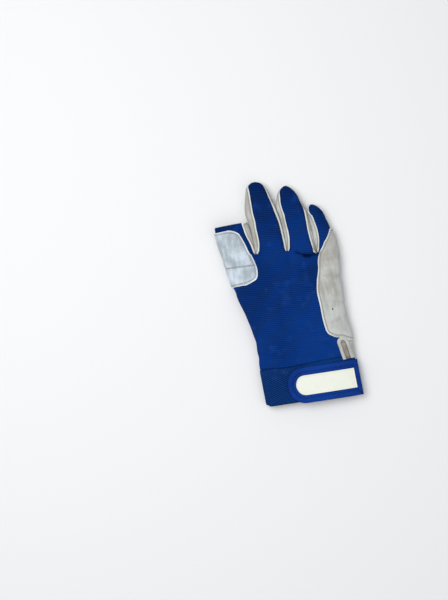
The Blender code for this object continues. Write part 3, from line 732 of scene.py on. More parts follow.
FORM = HandForm()
CUT_EDGE: list[Vector] = []
THUMB_OUTLINE: list[Vector] = []


@dataclass(frozen=True)
class Grid:
    """Rectangle of quads, with a function that sets each of its corners in place."""

    columns: int
    rows: int
    place: Place


class Nodes:
    """Short way to add and join the nodes of one shader tree."""

    def __init__(self, tree: bpy.types.NodeTree) -> None:
        """Keep the tree that nodes are added to."""
        self.tree = tree

    def add(self, kind: str, settings: dict | None = None, **inputs: object) -> bpy.types.Node:
        """Add a node.

        Args:
            kind: Blender's name of the node type, without ShaderNode.
            settings: Properties of the node.
            inputs: Values or output sockets by socket name, with _ for a space.

        Returns:
            The new node.
        """
        node = self.tree.nodes.new("ShaderNode" + kind)
        for name, value in (settings or {}).items():
            setattr(node, name, value)
        for name, value in inputs.items():
            self.feed(node.inputs[name.replace("_", " ")], value)
        return node

    def feed(self, socket: bpy.types.NodeSocket, value: object) -> None:
        """Set a socket to a value, or join it to an output socket."""
        if isinstance(value, bpy.types.NodeSocket):
            self.tree.links.new(value, socket)
        else:
            socket.default_value = value

    def math(self, operation: str, *values: object) -> bpy.types.NodeSocket:
        """Result of a Math node with the given operation and values."""
        node = self.add("Math", {"operation": operation})
        for socket, value in zip(node.inputs, values):
            self.feed(socket, value)
        return node.outputs[0]

    def remap(
        self, value: object, low: float, high: float, start: float, end: float
    ) -> bpy.types.NodeSocket:
        """Value carried from one range to another, and held there."""
        node = self.add("MapRange", {"interpolation_type": "SMOOTHSTEP"})
        for socket, given in zip(node.inputs, (value, low, high, start, end)):
            self.feed(socket, given)
        return node.outputs[0]

    def mix(self, factor: object, first: object, second: object) -> bpy.types.NodeSocket:
        """Colour between two colours."""
        node = self.add("Mix", {"data_type": "RGBA"})
        self.feed(node.inputs[0], factor)
        self.feed(node.inputs[6], first)
        self.feed(node.inputs[7], second)
        return node.outputs[2]

    def noise(self, vector: object, scale: float, detail: float = 3.0) -> bpy.types.NodeSocket:
        """Value of a noise texture."""
        return self.add("TexNoise", Vector=vector, Scale=scale, Detail=detail).outputs[0]

    def bent(self, vector: object, scale: float, reach: float) -> bpy.types.NodeSocket:
        """Vector pushed about by a noise of the given scale, by up to the given reach."""
        push = self.add("TexNoise", Vector=vector, Scale=scale, Detail=2.0)
        moved = self.add("VectorMath", {"operation": "MULTIPLY_ADD"})
        for socket, given in zip(moved.inputs, (push.outputs[1], (reach,) * 3, vector)):
            self.feed(socket, given)
        return moved.outputs[0]

    def scaled(self, vector: object, scale: tuple[float, float, float]) -> bpy.types.NodeSocket:
        """Vector stretched by a Mapping node."""
        return self.add("Mapping", Vector=vector, Scale=scale).outputs[0]


def node_group(
    name: str, inputs: dict[str, str], outputs: dict[str, str]
) -> tuple[Nodes, dict, bpy.types.Node]:
    """Start a shader node group.

    Args:
        name: Name of the group.
        inputs: Socket types by input name.
        outputs: Socket types by output name.

    Returns:
        The group's nodes, its input sockets by name, and its output node.
    """
    tree = bpy.data.node_groups.new(name, "ShaderNodeTree")
    for label, kind in inputs.items():
        tree.interface.new_socket(label, in_out="INPUT", socket_type=kind)
    for label, kind in outputs.items():
        tree.interface.new_socket(label, in_out="OUTPUT", socket_type=kind)
    start = tree.nodes.new("NodeGroupInput")
    end = tree.nodes.new("NodeGroupOutput")
    return Nodes(tree), {socket.name: socket for socket in start.outputs}, end


FLOAT = "NodeSocketFloat"
VECTOR = "NodeSocketVector"


class Effects:
    """Node groups that several finishes share."""

    def __init__(self) -> None:
        """Build each group once."""
        self.weave = self.build_weave()
        self.grain = self.build_grain()
        self.rim = self.build_rim()
        self.wear = self.build_wear()

    def build_weave(self) -> bpy.types.NodeTree:
        """Ribbed weave: ribs across the pattern, broken into stitches, with loose yarn."""
        nodes, given, end = node_group(
            "weave",
            {"Vector": VECTOR, "Ribs": FLOAT, "Yarns": FLOAT, "Slant": FLOAT},
            {"Height": FLOAT, "Shade": FLOAT},
        )
        across, along, _ = nodes.add("SeparateXYZ", Vector=nodes.bent(given["Vector"], 420.0, 0.45 * MM)).outputs
        slanted = nodes.math("MULTIPLY_ADD", across, given["Slant"], along)
        rib = nodes.math("SINE", nodes.math("MULTIPLY", slanted, given["Ribs"]))
        yarns = nodes.math("MULTIPLY", across, given["Yarns"])
        yarn = nodes.math("SINE", nodes.math("MULTIPLY_ADD", slanted, given["Ribs"], yarns))
        body = nodes.math("MULTIPLY_ADD", rib, 0.22, nodes.math("MULTIPLY_ADD", yarn, 0.16, 0.5))
        nodes.feed(end.inputs["Height"], body)
        fluff = nodes.noise(given["Vector"], 1500.0, 2.0)
        ground = nodes.math("MULTIPLY", body, 0.75)
        nodes.feed(end.inputs["Shade"], nodes.math("MULTIPLY_ADD", fluff, 0.5, ground))
        return nodes.tree

    def build_grain(self) -> bpy.types.NodeTree:
        """Split leather: fine pebbles, short fibres and soft creases, with pale and tan patches."""
        nodes, given, end = node_group(
            "leather_grain",
            {"Vector": VECTOR, "Pebbles": FLOAT, "Fibres": FLOAT},
            {"Height": FLOAT, "Mottle": FLOAT, "Pores": FLOAT},
        )
        bent = nodes.bent(given["Vector"], 260.0, 0.9 * MM)
        pebbles = nodes.add("TexVoronoi", {"feature": "SMOOTH_F1"}, Vector=bent, Scale=given["Pebbles"])
        fibres = nodes.noise(nodes.scaled(bent, (1.0, 0.28, 1.0)), 900.0, 4.0)
        creases = nodes.add("TexVoronoi", {"feature": "DISTANCE_TO_EDGE"}, Vector=bent, Scale=170.0)
        crease = nodes.remap(creases.outputs[0], 0.0, 0.14, 0.0, 1.0)
        grit = nodes.math("MULTIPLY", pebbles.outputs[0], 0.5)
        rough = nodes.math("MULTIPLY_ADD", fibres, given["Fibres"], grit)
        nodes.feed(end.inputs["Height"], nodes.math("MULTIPLY_ADD", crease, 0.12, rough))
        broad = nodes.noise(given["Vector"], 55.0, 4.0)
        streak = nodes.noise(nodes.scaled(given["Vector"], (1.0, 0.22, 1.0)), 210.0, 4.0)
        mottle = nodes.math("MULTIPLY_ADD", broad, 0.6, nodes.math("MULTIPLY", streak, 0.4))
        nodes.feed(end.inputs["Mottle"], nodes.remap(mottle, 0.38, 0.62, 0.0, 1.0))
        pores = nodes.noise(given["Vector"], 1300.0, 2.0)
        nodes.feed(end.inputs["Pores"], nodes.remap(pores, 0.56, 0.74, 0.0, 1.0))
        return nodes.tree

    def build_rim(self) -> bpy.types.NodeTree:
        """Edge of a sewn piece: a pressed groove where the stitches run, and a band at the cut edge."""
        nodes, given, end = node_group(
            "sewn_rim",
            {"Rim": FLOAT, "Groove": FLOAT, "Vector": VECTOR},
            {"Groove": FLOAT, "Edge": FLOAT},
        )
        wobble = nodes.math("MULTIPLY_ADD", nodes.noise(given["Vector"], 320.0, 3.0), 0.9, -0.45)
        rim = nodes.math("ADD", given["Rim"], wobble)
        off = nodes.math("ABSOLUTE", nodes.math("SUBTRACT", given["Rim"], given["Groove"]))
        nodes.feed(end.inputs["Groove"], nodes.remap(off, 0.0, 0.75, 1.0, 0.0))
        nodes.feed(end.inputs["Edge"], nodes.remap(rim, 0.3, 1.5, 1.0, 0.0))
        return nodes.tree

    def build_wear(self) -> bpy.types.NodeTree:
        """Uneven handling marks: broad soiled patches broken up by fine ones."""
        nodes, given, end = node_group(
            "wear", {"Vector": VECTOR, "Scale": FLOAT}, {"Soil": FLOAT, "Rubbed": FLOAT})
        broad = nodes.add(
            "TexNoise", Vector=given["Vector"], Scale=given["Scale"], Detail=5.0, Roughness=0.62)
        nodes.feed(end.inputs["Soil"], nodes.remap(broad.outputs[0], 0.50, 0.72, 0.0, 1.0))
        fine = nodes.noise(given["Vector"], 700.0, 3.0)
        rubbed = nodes.math("MULTIPLY", nodes.remap(broad.outputs[0], 0.46, 0.30, 0.0, 1.0), fine)
        nodes.feed(end.inputs["Rubbed"], rubbed)
        return nodes.tree

    def use(self, nodes: Nodes, tree: bpy.types.NodeTree, **inputs: object) -> bpy.types.Node:
        """Place a group in a material with its own values."""
        node = nodes.tree.nodes.new("ShaderNodeGroup")
        node.node_tree = tree
        for name, value in inputs.items():
            nodes.feed(node.inputs[name], value)
        return node


Colour = tuple[float, float, float, float]


def toned(colour: Colour, *shares: float) -> Colour:
    """Colour with its channels times one share, or times a share each."""
    return tuple(value * share for value, share in zip(colour[:3], shares * 3)) + (1.0,)


class Paint(Nodes):
    """Material in the making, with the shader and the inputs that every finish reads."""

    def __init__(self, name: str, effects: Effects, **inputs: object) -> None:
        """Start a material.

        Args:
            name: Name of the material.
            effects: Node groups that the finishes share.
            inputs: Values of the shader's sockets by name, with _ for a space.
        """
        self.made = bpy.data.materials.new(name)
        self.made.use_nodes = True
        super().__init__(self.made.node_tree)
        self.effects = effects
        self.shader = self.made.node_tree.nodes["Principled BSDF"]
        self.spot = self.add("TexCoord").outputs["Object"]
        self.dress(**inputs)

    def dress(self, **inputs: object) -> None:
        """Set or join the shader's sockets, named with _ for a space."""
        for name, value in inputs.items():
            self.feed(self.shader.inputs[name.replace("_", " ")], value)

    def along(self) -> bpy.types.NodeSocket:
        """Place along the hand, in metres from the glove's middle."""
        return self.add("SeparateXYZ", Vector=self.spot).outputs[1]

    def measure(self, name: str) -> bpy.types.NodeSocket:
        """Value of one of the piece's own measures, its rim or its folds."""
        return self.add("Attribute", {"attribute_name": name}).outputs["Fac"]

    def group(self, tree: bpy.types.NodeTree, **inputs: object) -> bpy.types.NodeOutputs:
        """Outputs of a shared group that is placed with its own values."""
        return self.effects.use(self, tree, Vector=self.spot, **inputs).outputs

    def edge(self, groove: float) -> bpy.types.NodeOutputs:
        """Masks of the stitch groove and of the cut edge."""
        return self.group(self.effects.rim, Rim=self.measure("rim"), Groove=groove)

    def over(self, colour: object, mask: object, strength: float, top: Colour) -> bpy.types.NodeSocket:
        """Colour with another laid over it where a mask says so."""
        return self.mix(self.math("MULTIPLY", mask, strength), colour, top)

    def relief(self, height: object, depth: float, strength: float) -> None:
        """Feed the shader's normal from a height."""
        bump = self.add("Bump", Height=height, Distance=depth, Strength=strength)
        self.dress(Normal=bump.outputs[0])


@dataclass(frozen=True)
class ClothFinish:
    """Woven blue cloth."""

    name: str
    slot: str
    deep: Colour
    lit: Colour
    ribs: float
    yarns: float
    slant: float
    relief: float = 0.22 * MM
    roughness: float = 0.86
    contrast: tuple[float, float] = (0.2, 1.0)
    # painted highlight: how much lighter the cloth is made just above the cuff
    painted_wrist_highlight: float = 0.0
    wear_scale: float = 60.0
    groove: float = 2.0
    sheen_tint: Colour = (0.45, 0.62, 1.0, 1.0)

    def tone(self, paint: Paint, shade: object) -> bpy.types.NodeSocket:
        """Share of the lit colour: the weave, painted highlight and shade in broad patches, darker fingers and a
        painted highlight at the wrist.
        """
        weave = paint.remap(shade, *self.contrast, 0.0, 1.0)
        # painted highlight and shade: broad soft patches of the cloth made lighter and darker
        broad = paint.remap(paint.noise(paint.spot, 17.0, 2.0), 0.35, 0.68, -0.16, 0.22)
        fingers = paint.remap(paint.along(), 0.02, 0.10, 0.0, -0.34)
        # painted highlight: the cloth just above the cuff is made lighter
        wrist = paint.remap(paint.along(), -0.075, -0.03, self.painted_wrist_highlight, 0.0)
        return paint.math("ADD", paint.math("ADD", weave, broad), paint.math("ADD", fingers, wrist))

    def build(self, effects: Effects) -> bpy.types.Material:
        """Material of this cloth."""
        paint = Paint(
            self.name, effects, Roughness=self.roughness, Sheen_Weight=0.01, Sheen_Roughness=0.45,
            Sheen_Tint=self.sheen_tint, Specular_IOR_Level=0.06)
        weave = paint.group(effects.weave, Ribs=self.ribs, Yarns=self.yarns, Slant=self.slant)
        rubbed = paint.group(effects.wear, Scale=self.wear_scale)["Rubbed"]
        colour = paint.mix(self.tone(paint, weave["Shade"]), self.deep, self.lit)
        # painted shade in the folds: the cloth darkens where its folds run deep
        fold_shade = paint.remap(paint.measure("fold"), 0.4, 2.8, 0.0, 0.85)
        colour = paint.mix(fold_shade, colour, toned(self.deep, 0.45))
        faded = tuple(min(1.0, value * 1.5 + 0.01) for value in self.lit[:3]) + (1.0,)
        colour = paint.over(colour, rubbed, 0.5, faded)
        colour = paint.over(colour, paint.edge(self.groove)["Edge"], 0.5, toned(self.deep, 0.55))
        paint.dress(Base_Color=colour)
        paint.relief(weave["Height"], self.relief, 0.7)
        return paint.made


@dataclass(frozen=True)
class LeatherFinish:
    """Soft split leather with a pressed stitch groove and pale cut edges."""

    name: str
    slot: str
    tan: Colour
    pale: Colour
    cut: Colour
    pebbles: float = 1150.0
    fibres: float = 0.9
    relief: float = 0.16 * MM
    roughness: float = 0.78
    groove: float = 2.0
    wear_scale: float = 48.0

    def build(self, effects: Effects) -> bpy.types.Material:
        """Material of this leather."""
        paint = Paint(self.name, effects, Specular_IOR_Level=0.35, Sheen_Weight=0.12)
        grain = paint.group(effects.grain, Pebbles=self.pebbles, Fibres=self.fibres)
        soil = paint.group(effects.wear, Scale=self.wear_scale)["Soil"]
        edge = paint.edge(self.groove)
        wrist = paint.remap(paint.along(), -0.06, 0.01, 0.4, 0.0)
        colour = paint.mix(paint.math("ADD", grain["Mottle"], wrist), self.tan, self.pale)
        # dark colour of the pores, also used below for the painted shade in the folds
        pores = toned(self.tan, 0.62)
        colour = paint.over(colour, grain["Pores"], 0.4, pores)
        colour = paint.over(colour, soil, 0.35, toned(self.tan, 0.72, 0.67, 0.58))
        # painted shade in the folds: the leather darkens where its folds run deep
        colour = paint.mix(paint.remap(paint.measure("fold"), 0.2, 1.1, 0.0, 0.75), colour, pores)
        colour = paint.over(colour, edge["Groove"], 0.85, pores)
        colour = paint.over(colour, edge["Edge"], 0.9, self.cut)
        matt = paint.remap(grain["Mottle"], 0.0, 1.0, self.roughness + 0.08, self.roughness - 0.06)
        paint.dress(Base_Color=colour, Roughness=matt)
        paint.relief(paint.math("MULTIPLY_ADD", edge["Groove"], -1.6, grain["Height"]), self.relief, 0.8)
        return paint.made


@dataclass(frozen=True)
class RubberFinish:
    """Smooth moulded rubber of the pull patch, a little grubby in its corners."""

    name: str
    slot: str
    colour: Colour
    shade: Colour
    roughness: float = 0.5
    soiled_roughness: float = 0.66
    groove: float = 1.6
    wear_scale: float = 110.0
    relief: float = 0.09 * MM

    def build(self, effects: Effects) -> bpy.types.Material:
        """Material of this rubber."""
        paint = Paint(self.name, effects, Specular_IOR_Level=0.4)
        soil = paint.group(effects.wear, Scale=self.wear_scale)["Soil"]
        groove = paint.edge(self.groove)["Groove"]
        colour = paint.over(self.colour, soil, 0.35, self.shade)
        colour = paint.over(colour, groove, 0.22, self.shade)
        matt = paint.remap(soil, 0.0, 1.0, self.roughness, self.soiled_roughness)
        paint.dress(Base_Color=colour, Roughness=matt)
        fine = paint.noise(paint.spot, 2200.0, 2.0)
        paint.relief(paint.math("MULTIPLY_ADD", groove, -2.2, fine), self.relief, 0.6)
        return paint.made


@dataclass(frozen=True)
class ThreadFinish:
    """Twisted sewing thread."""

    name: str
    slot: str
    colour: Colour
    roughness: float = 0.6
    twist: float = 1600.0
    wear_scale: float = 90.0
    relief: float = 0.08 * MM

    def build(self, effects: Effects) -> bpy.types.Material:
        """Material of this thread."""
        paint = Paint(self.name, effects, Roughness=self.roughness)
        soil = paint.group(effects.wear, Scale=self.wear_scale)["Soil"]
        paint.dress(Base_Color=paint.mix(soil, self.colour, toned(self.colour, 0.7)))
        twist = paint.add("TexWave", {"bands_direction": "DIAGONAL"}, Vector=paint.spot, Scale=self.twist)
        paint.relief(twist.outputs[1], self.relief, 0.6)
        return paint.made


CLOTH = ClothFinish(
    "blue_cloth", "cloth", (0.0006, 0.0100, 0.059, 1), (0.0023, 0.0415, 0.240, 1),
    ribs=3250.0, yarns=5200.0, slant=0.12, painted_wrist_highlight=0.24)
CUFF_CLOTH = ClothFinish(
    "cuff_twill", "cloth", (0.0008, 0.0054, 0.028, 1), (0.0050, 0.0530, 0.250, 1),
    ribs=2500.0, yarns=4600.0, slant=0.80, relief=0.45 * MM, contrast=(0.45, 0.74))
BINDING_CLOTH = ClothFinish(
    "binding_cloth", "binding", (0.0021, 0.0180, 0.122, 1), (0.0066, 0.0550, 0.326, 1),
    ribs=4800.0, yarns=5200.0, slant=0.3, relief=0.14 * MM)
CREAM = LeatherFinish(
    "cream_leather", "leather", (0.39, 0.38, 0.340, 1), (0.56, 0.58, 0.555, 1), (0.80, 0.80, 0.76, 1))
PALE = LeatherFinish(
    "pale_blue_leather", "pale_leather", (0.36, 0.415, 0.45, 1), (0.62, 0.70, 0.775, 1),
    (0.88, 0.91, 0.93, 1))
# brownish leather inside the vent's slit, darkened with painted shade, with a near-black painted shadow along
# its cut edges
SHADED_LINING = LeatherFinish(
    "shaded_inner_leather", "leather", (0.17, 0.145, 0.110, 1), (0.40, 0.365, 0.31, 1),
    (0.10, 0.08, 0.06, 1))
RUBBER = RubberFinish("cream_rubber", "rubber", (0.835, 0.85, 0.745, 1), (0.72, 0.73, 0.59, 1))
CREAM_THREAD = ThreadFinish("cream_thread", "leather", (0.60, 0.59, 0.52, 1))
BLUE_THREAD = ThreadFinish("blue_thread", "binding", (0.004, 0.030, 0.21, 1))
GREY_THREAD = ThreadFinish("grey_thread", "leather", (0.27, 0.25, 0.21, 1))
# dark colour of the disc that stands for the painted shade in a small punched hole
HOLE_SHADE = ThreadFinish("painted_hole_shade", "leather", (0.055, 0.042, 0.03, 1))
Finish = ClothFinish | LeatherFinish | RubberFinish | ThreadFinish


class Workshop:
    """Makes each piece's object, dresses it and ties it to the frame."""

    rim_reach = 8.0
    weld = 0.01 * MM
    round_off = 0.3 * MM
    round_steps = 2
    round_angle = math.radians(55)
    seam_settle = 0.25 * MM

    def __init__(self) -> None:
        """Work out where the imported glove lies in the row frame, and build the effects."""
        low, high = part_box("cuff_band")
        left, right = FORM.cuff_sides()
        self.shift = Vector((
            (low.x + high.x - left - right) / 2,
            high.y - FORM.cuff_length + self.seam_settle,
            0,
        ))
        self.effects = Effects()
        self.materials: dict[str, bpy.types.Material] = {}

    def material(self, finish: Finish) -> bpy.types.Material:
        """Material of a finish, made the first time it is asked for."""
        if finish.name not in self.materials:
            self.materials[finish.name] = finish.build(self.effects)
        return self.materials[finish.name]

    def grids(self, shape: bmesh.types.BMesh, grids: Sequence[Grid]) -> None:
        """Add grids to a mesh, set their corners in place and weld them where they meet."""
        for grid in grids:
            made = bmesh.ops.create_grid(shape, x_segments=grid.columns, y_segments=grid.rows, size=1)
            for vertex in made["verts"]:
                across = round((vertex.co.x + 1) / 2 * grid.columns) / grid.columns
                along = round((vertex.co.y + 1) / 2 * grid.rows) / grid.rows
                vertex.co = grid.place(across, along)
        bmesh.ops.remove_doubles(shape, verts=shape.verts, dist=self.weld)

    def measure_rim(self, shape: bmesh.types.BMesh, roll: float, width: float) -> None:
        """Keep each corner's distance to the open edge, and roll the sheet in towards that edge."""
        layer = shape.verts.layers.float.new("rim")
        fold = shape.verts.layers.float.new("fold")
        edge = [vertex for vertex in shape.verts if vertex.is_boundary]
        tree = kdtree.KDTree(max(1, len(edge)))
        for place, vertex in enumerate(edge):
            tree.insert(vertex.co, place)
        tree.balance()
        shape.normal_update()
        moves = []
        for vertex in shape.verts:
            distance = tree.find(vertex.co)[2] if edge else self.rim_reach * MM
            vertex[layer] = min(self.rim_reach, distance / MM)
            side = Side.BACK if vertex.co.z > FORM.finger_height / 2 else Side.PALM
            # depth of the folds, which the finishes paint as shade
            vertex[fold] = max(0.0, -FORM.folds(vertex.co.x, vertex.co.y, side) / MM)
            moves.append(vertex.normal * -roll * bell(distance, width))
        for vertex, move in zip(shape.verts, moves):
            vertex.co += move

    def finish(
        self, shape: bmesh.types.BMesh, name: str, finish: Finish, nodes: Sequence[str] = ()
    ) -> bpy.types.Object:
        """Turn a mesh in the glove's own frame into a finished piece of the frame.

        Args:
            shape: The mesh, which is freed.
            name: Name of the piece.
            finish: Its finish.
            nodes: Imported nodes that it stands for.

        Returns:
            The new object, at the origin.
        """
        bmesh.ops.translate(shape, verts=shape.verts, vec=self.shift)
        mesh = bpy.data.meshes.new(name)
        shape.to_mesh(mesh)
        shape.free()
        mesh.shade_smooth()
        mesh.materials.append(self.material(finish))
        piece = bpy.data.objects.new(name, mesh)
        bpy.context.scene.collection.objects.link(piece)
        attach(piece, "root")
        if nodes:
            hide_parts(*nodes)
        LOG.info("%s: %d faces", name, len(mesh.polygons))
        return piece

    def wall(self, piece: bpy.types.Object, thickness: float) -> bpy.types.Object:
        """Give a sheet its wall outwards and round its edges off."""
        solid = piece.modifiers.new("wall", "SOLIDIFY")
        solid.thickness = thickness
        solid.offset = 1
        bevel = piece.modifiers.new("round_off", "BEVEL")
        bevel.width = self.round_off
        bevel.segments = self.round_steps
        bevel.limit_method = "ANGLE"
        bevel.angle_limit = self.round_angle
        return piece

    def sheet(
        self,
        name: str,
        grids: Sequence[Grid],
        thickness: float,
        finish: Finish,
        nodes: Sequence[str] = (),
        roll: tuple[float, float] = (0.0, MM),
    ) -> bpy.types.Object:
        """Sheet of cloth, leather or rubber from grids on its inner face.

        Args:
            name: Name of the piece.
            grids: Grids that weld into the sheet.
            thickness: Wall, laid outwards.
            finish: Its finish.
            nodes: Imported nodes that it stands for.
            roll: Depth and width by which the open edges turn inwards.

        Returns:
            The finished piece.
        """
        shape = bmesh.new()
        self.grids(shape, grids)
        self.measure_rim(shape, *roll)
        return self.wall(self.finish(shape, name, finish, nodes), thickness)


@dataclass(frozen=True)
class Stitching:
    """Rows of stitches, each a small spindle that lies on the surface."""

    length: float = 1.7 * MM
    gap: float = 0.9 * MM
    thickness: float = 0.26 * MM
    segments: int = 6
    rings: int = 4

    def spindle(self, shape: bmesh.types.BMesh, start: Vector, end: Vector) -> None:
        """Add one stitch between two points."""
        direction = (end - start).normalized()
        turn = direction.to_track_quat("Z", "Y").to_matrix().to_4x4()
        size = Matrix.Diagonal((self.thickness, self.thickness, (end - start).length / 2, 1))
        place = Matrix.Translation((start + end) / 2) @ turn @ size
        bmesh.ops.create_uvsphere(
            shape, u_segments=self.segments, v_segments=self.rings, radius=1, matrix=place)

    def row(self, shape: bmesh.types.BMesh, points: Sequence[Vector]) -> None:
        """Add a row of stitches along a chain of points."""
        lengths = [0.0]
        for low, high in zip(points, points[1:]):
            lengths.append(lengths[-1] + (high - low).length)

        def at(distance: float) -> Vector:
            place = 0
            while place < len(lengths) - 2 and lengths[place + 1] < distance:
                place += 1
            span = max(lengths[place + 1] - lengths[place], 1e-9)
            return points[place].lerp(points[place + 1], (distance - lengths[place]) / span)

        step = self.length + self.gap
        count = int(lengths[-1] / step)
        for number in range(count):
            start = number * step
            self.spindle(shape, at(start), at(start + self.length))

    def build(self, shop: Workshop, name: str, rows: Sequence[Sequence[Vector]], finish: Finish) -> None:
        """Make one piece of several rows of stitches."""
        shape = bmesh.new()
        for points in rows:
            self.row(shape, points)
        shop.finish(shape, name, finish)


@dataclass(frozen=True)
class HandPanels:
    """Blue back, leather palm and the leather side walls of the fingers."""

    columns: int = 26
    body_rows: int = 96
    heel_rows: int = 64
    web_rows: int = 30
    finger_rows: int = 62
    stub_rows: int = 26
    wall_columns: int = 12
    roll: tuple[float, float] = (0.55 * MM, 1.5 * MM)
    press_reach: float = 3.5 * MM
    press_fade: float = 9 * MM
    press_height: float = 13.3 * MM
    press_depth: float = 2.6 * MM
    press_sink: float = 0.04 * MM
    web_margin: float = 0.5 * MM
    wall_dent: float = 0.5 * MM

    def steps(self, finger: Finger) -> int:
        """Rows of the panels along a finger."""
        return self.finger_rows if finger.cap else self.stub_rows

    def back(self, shop: Workshop) -> None:
        """Blue back of the hand with the backs of the fingers."""
        bottom = FORM.cuff_length
        wall = -FORM.cloth_wall
        grids = []
        for group, finger in enumerate(FINGERS):
            def hand(across: float, along: float, group: int = group) -> Vector:
                place = group + across
                foot = FORM.seam_y(FORM.joined(place, bottom, wall, Side.BACK)) + FORM.seam_gap
                return FORM.hand_point(place, blend(foot, FORM.crotch_y(place), along), wall, Side.BACK)

            def tube(across: float, along: float, group: int = group, finger: Finger = finger) -> Vector:
                start = FORM.crotch_y(group + across)
                if along == 0:
                    return FORM.hand_point(group + across, start, wall, Side.BACK)
                return FORM.tube_point(group, across, FORM.finger_y(finger, start, along), wall, Side.BACK)

            grids.append(Grid(self.columns, self.body_rows, hand))
            grids.append(Grid(self.columns, self.steps(finger), tube))
        shop.sheet("cloth_back", grids, FORM.cloth_wall, CLOTH, ["back_panel"], self.roll)

    def palm(self, shop: Workshop) -> None:
        """Leather palm with the fronts of the fingers, left out where the thumb's cover lies."""
        bottom = FORM.cuff_length + FORM.seam_gap
        wall = -FORM.leather_wall
        web = FORM.thumb_ends(0)[0].y + FORM.leather_wall + self.web_margin
        web_share = (web - bottom) / (FORM.crotch_y(1) - bottom)
        grids = []
        for group, finger in enumerate(FINGERS):
            def heel(across: float, along: float, group: int = group) -> Vector:
                place = group + 1 - across
                y = blend(bottom, FORM.crotch_y(place), web_share * along)
                return FORM.hand_point(place, y, wall, Side.PALM)

            def hand(across: float, along: float, group: int = group) -> Vector:
                place = group + 1 - across
                y = blend(bottom, FORM.crotch_y(place), blend(web_share, 1, along))
                return FORM.hand_point(place, y, wall, Side.PALM)

            def tube(across: float, along: float, group: int = group, finger: Finger = finger) -> Vector:
                start = FORM.crotch_y(group + 1 - across)
                if along == 0:
                    return FORM.hand_point(group + 1 - across, start, wall, Side.PALM)
                y = FORM.finger_y(finger, start, along)
                return FORM.tube_point(group, 1 - across, y, wall, Side.PALM)

            if group > 0:
                grids.append(Grid(self.columns // 2, self.heel_rows, heel))
            grids.append(Grid(self.columns // 2, self.web_rows, hand))
            grids.append(Grid(self.columns // 2, self.steps(finger), tube))
        shop.sheet("leather_palm", grids, FORM.leather_wall, CREAM, ["palm_panel"], self.roll)

    def fourchette(self, shop: Workshop, node: str, first: int) -> None:
        """Side walls of two neighbouring fingers, joined in a fold at their crotch."""
        near, far = FINGERS[first], FINGERS[first + 1]
        gap = FORM.seam_gap / FORM.finger_height
        start = FORM.crotch_y(first + 1)
        near_steps, far_steps = self.steps(near), self.steps(far)

        def press(point: Vector, y: float, right_side: bool) -> Vector:
            left, right = FORM.finger_sides(first, y)[1], FORM.finger_sides(first + 1, y)[0]
            other = far if right_side else near
            past = (y - FORM.palm_line(other.root) - other.length) / self.press_fade
            close = ease(1 - (right - left) / self.press_reach) * ease(1 - past)
            wall = FORM.leather_wall - self.press_sink
            target = (left + right) / 2 + (-wall if right_side else wall)
            depth = ease((self.press_height - point.z) / self.press_depth)
            point.x = blend(point.x, target, close * depth)
            return point

        def wall_point(group: int, y: float, down: float, right_side: bool) -> Vector:
            seam = FORM.seams(group, y)[1 if right_side else 0]
            degrees = blend(seam, -FORM.under_seam(seam), down)
            angle = math.radians(degrees) + gap * (2 * down - 1)
            dent = self.wall_dent * math.sin(math.pi * down)
            dent *= noise.noise(Vector((y * 70, first, right_side)))
            angle = angle if right_side else math.pi - angle
            return press(FORM.finger_point(FINGERS[group], y, angle, dent - FORM.leather_wall), y, right_side)

        def place(up: float, along: float) -> Vector:
            down = 1 - up
            step = round(along * (near_steps + far_steps)) - near_steps
            if step < 0:
                return wall_point(first, FORM.finger_y(near, start, -step / near_steps), down, True)
            if step > 0:
                return wall_point(first + 1, FORM.finger_y(far, start, step / far_steps), down, False)
            return wall_point(first, start, down, True).lerp(wall_point(first + 1, start, down, False), 0.5)

        grid = Grid(self.wall_columns, near_steps + far_steps, place)
        shop.sheet(f"leather_{node}", [grid], FORM.leather_wall, CREAM, [node], self.roll)

    def build(self, shop: Workshop) -> None:
        """Build the panels and the three side walls."""
        self.back(shop)
        self.palm(shop)
        self.fourchette(shop, "fourchette_index_middle", 0)
        self.fourchette(shop, "fourchette_middle_ring", 1)
        self.fourchette(shop, "fourchette_ring_little", 2)


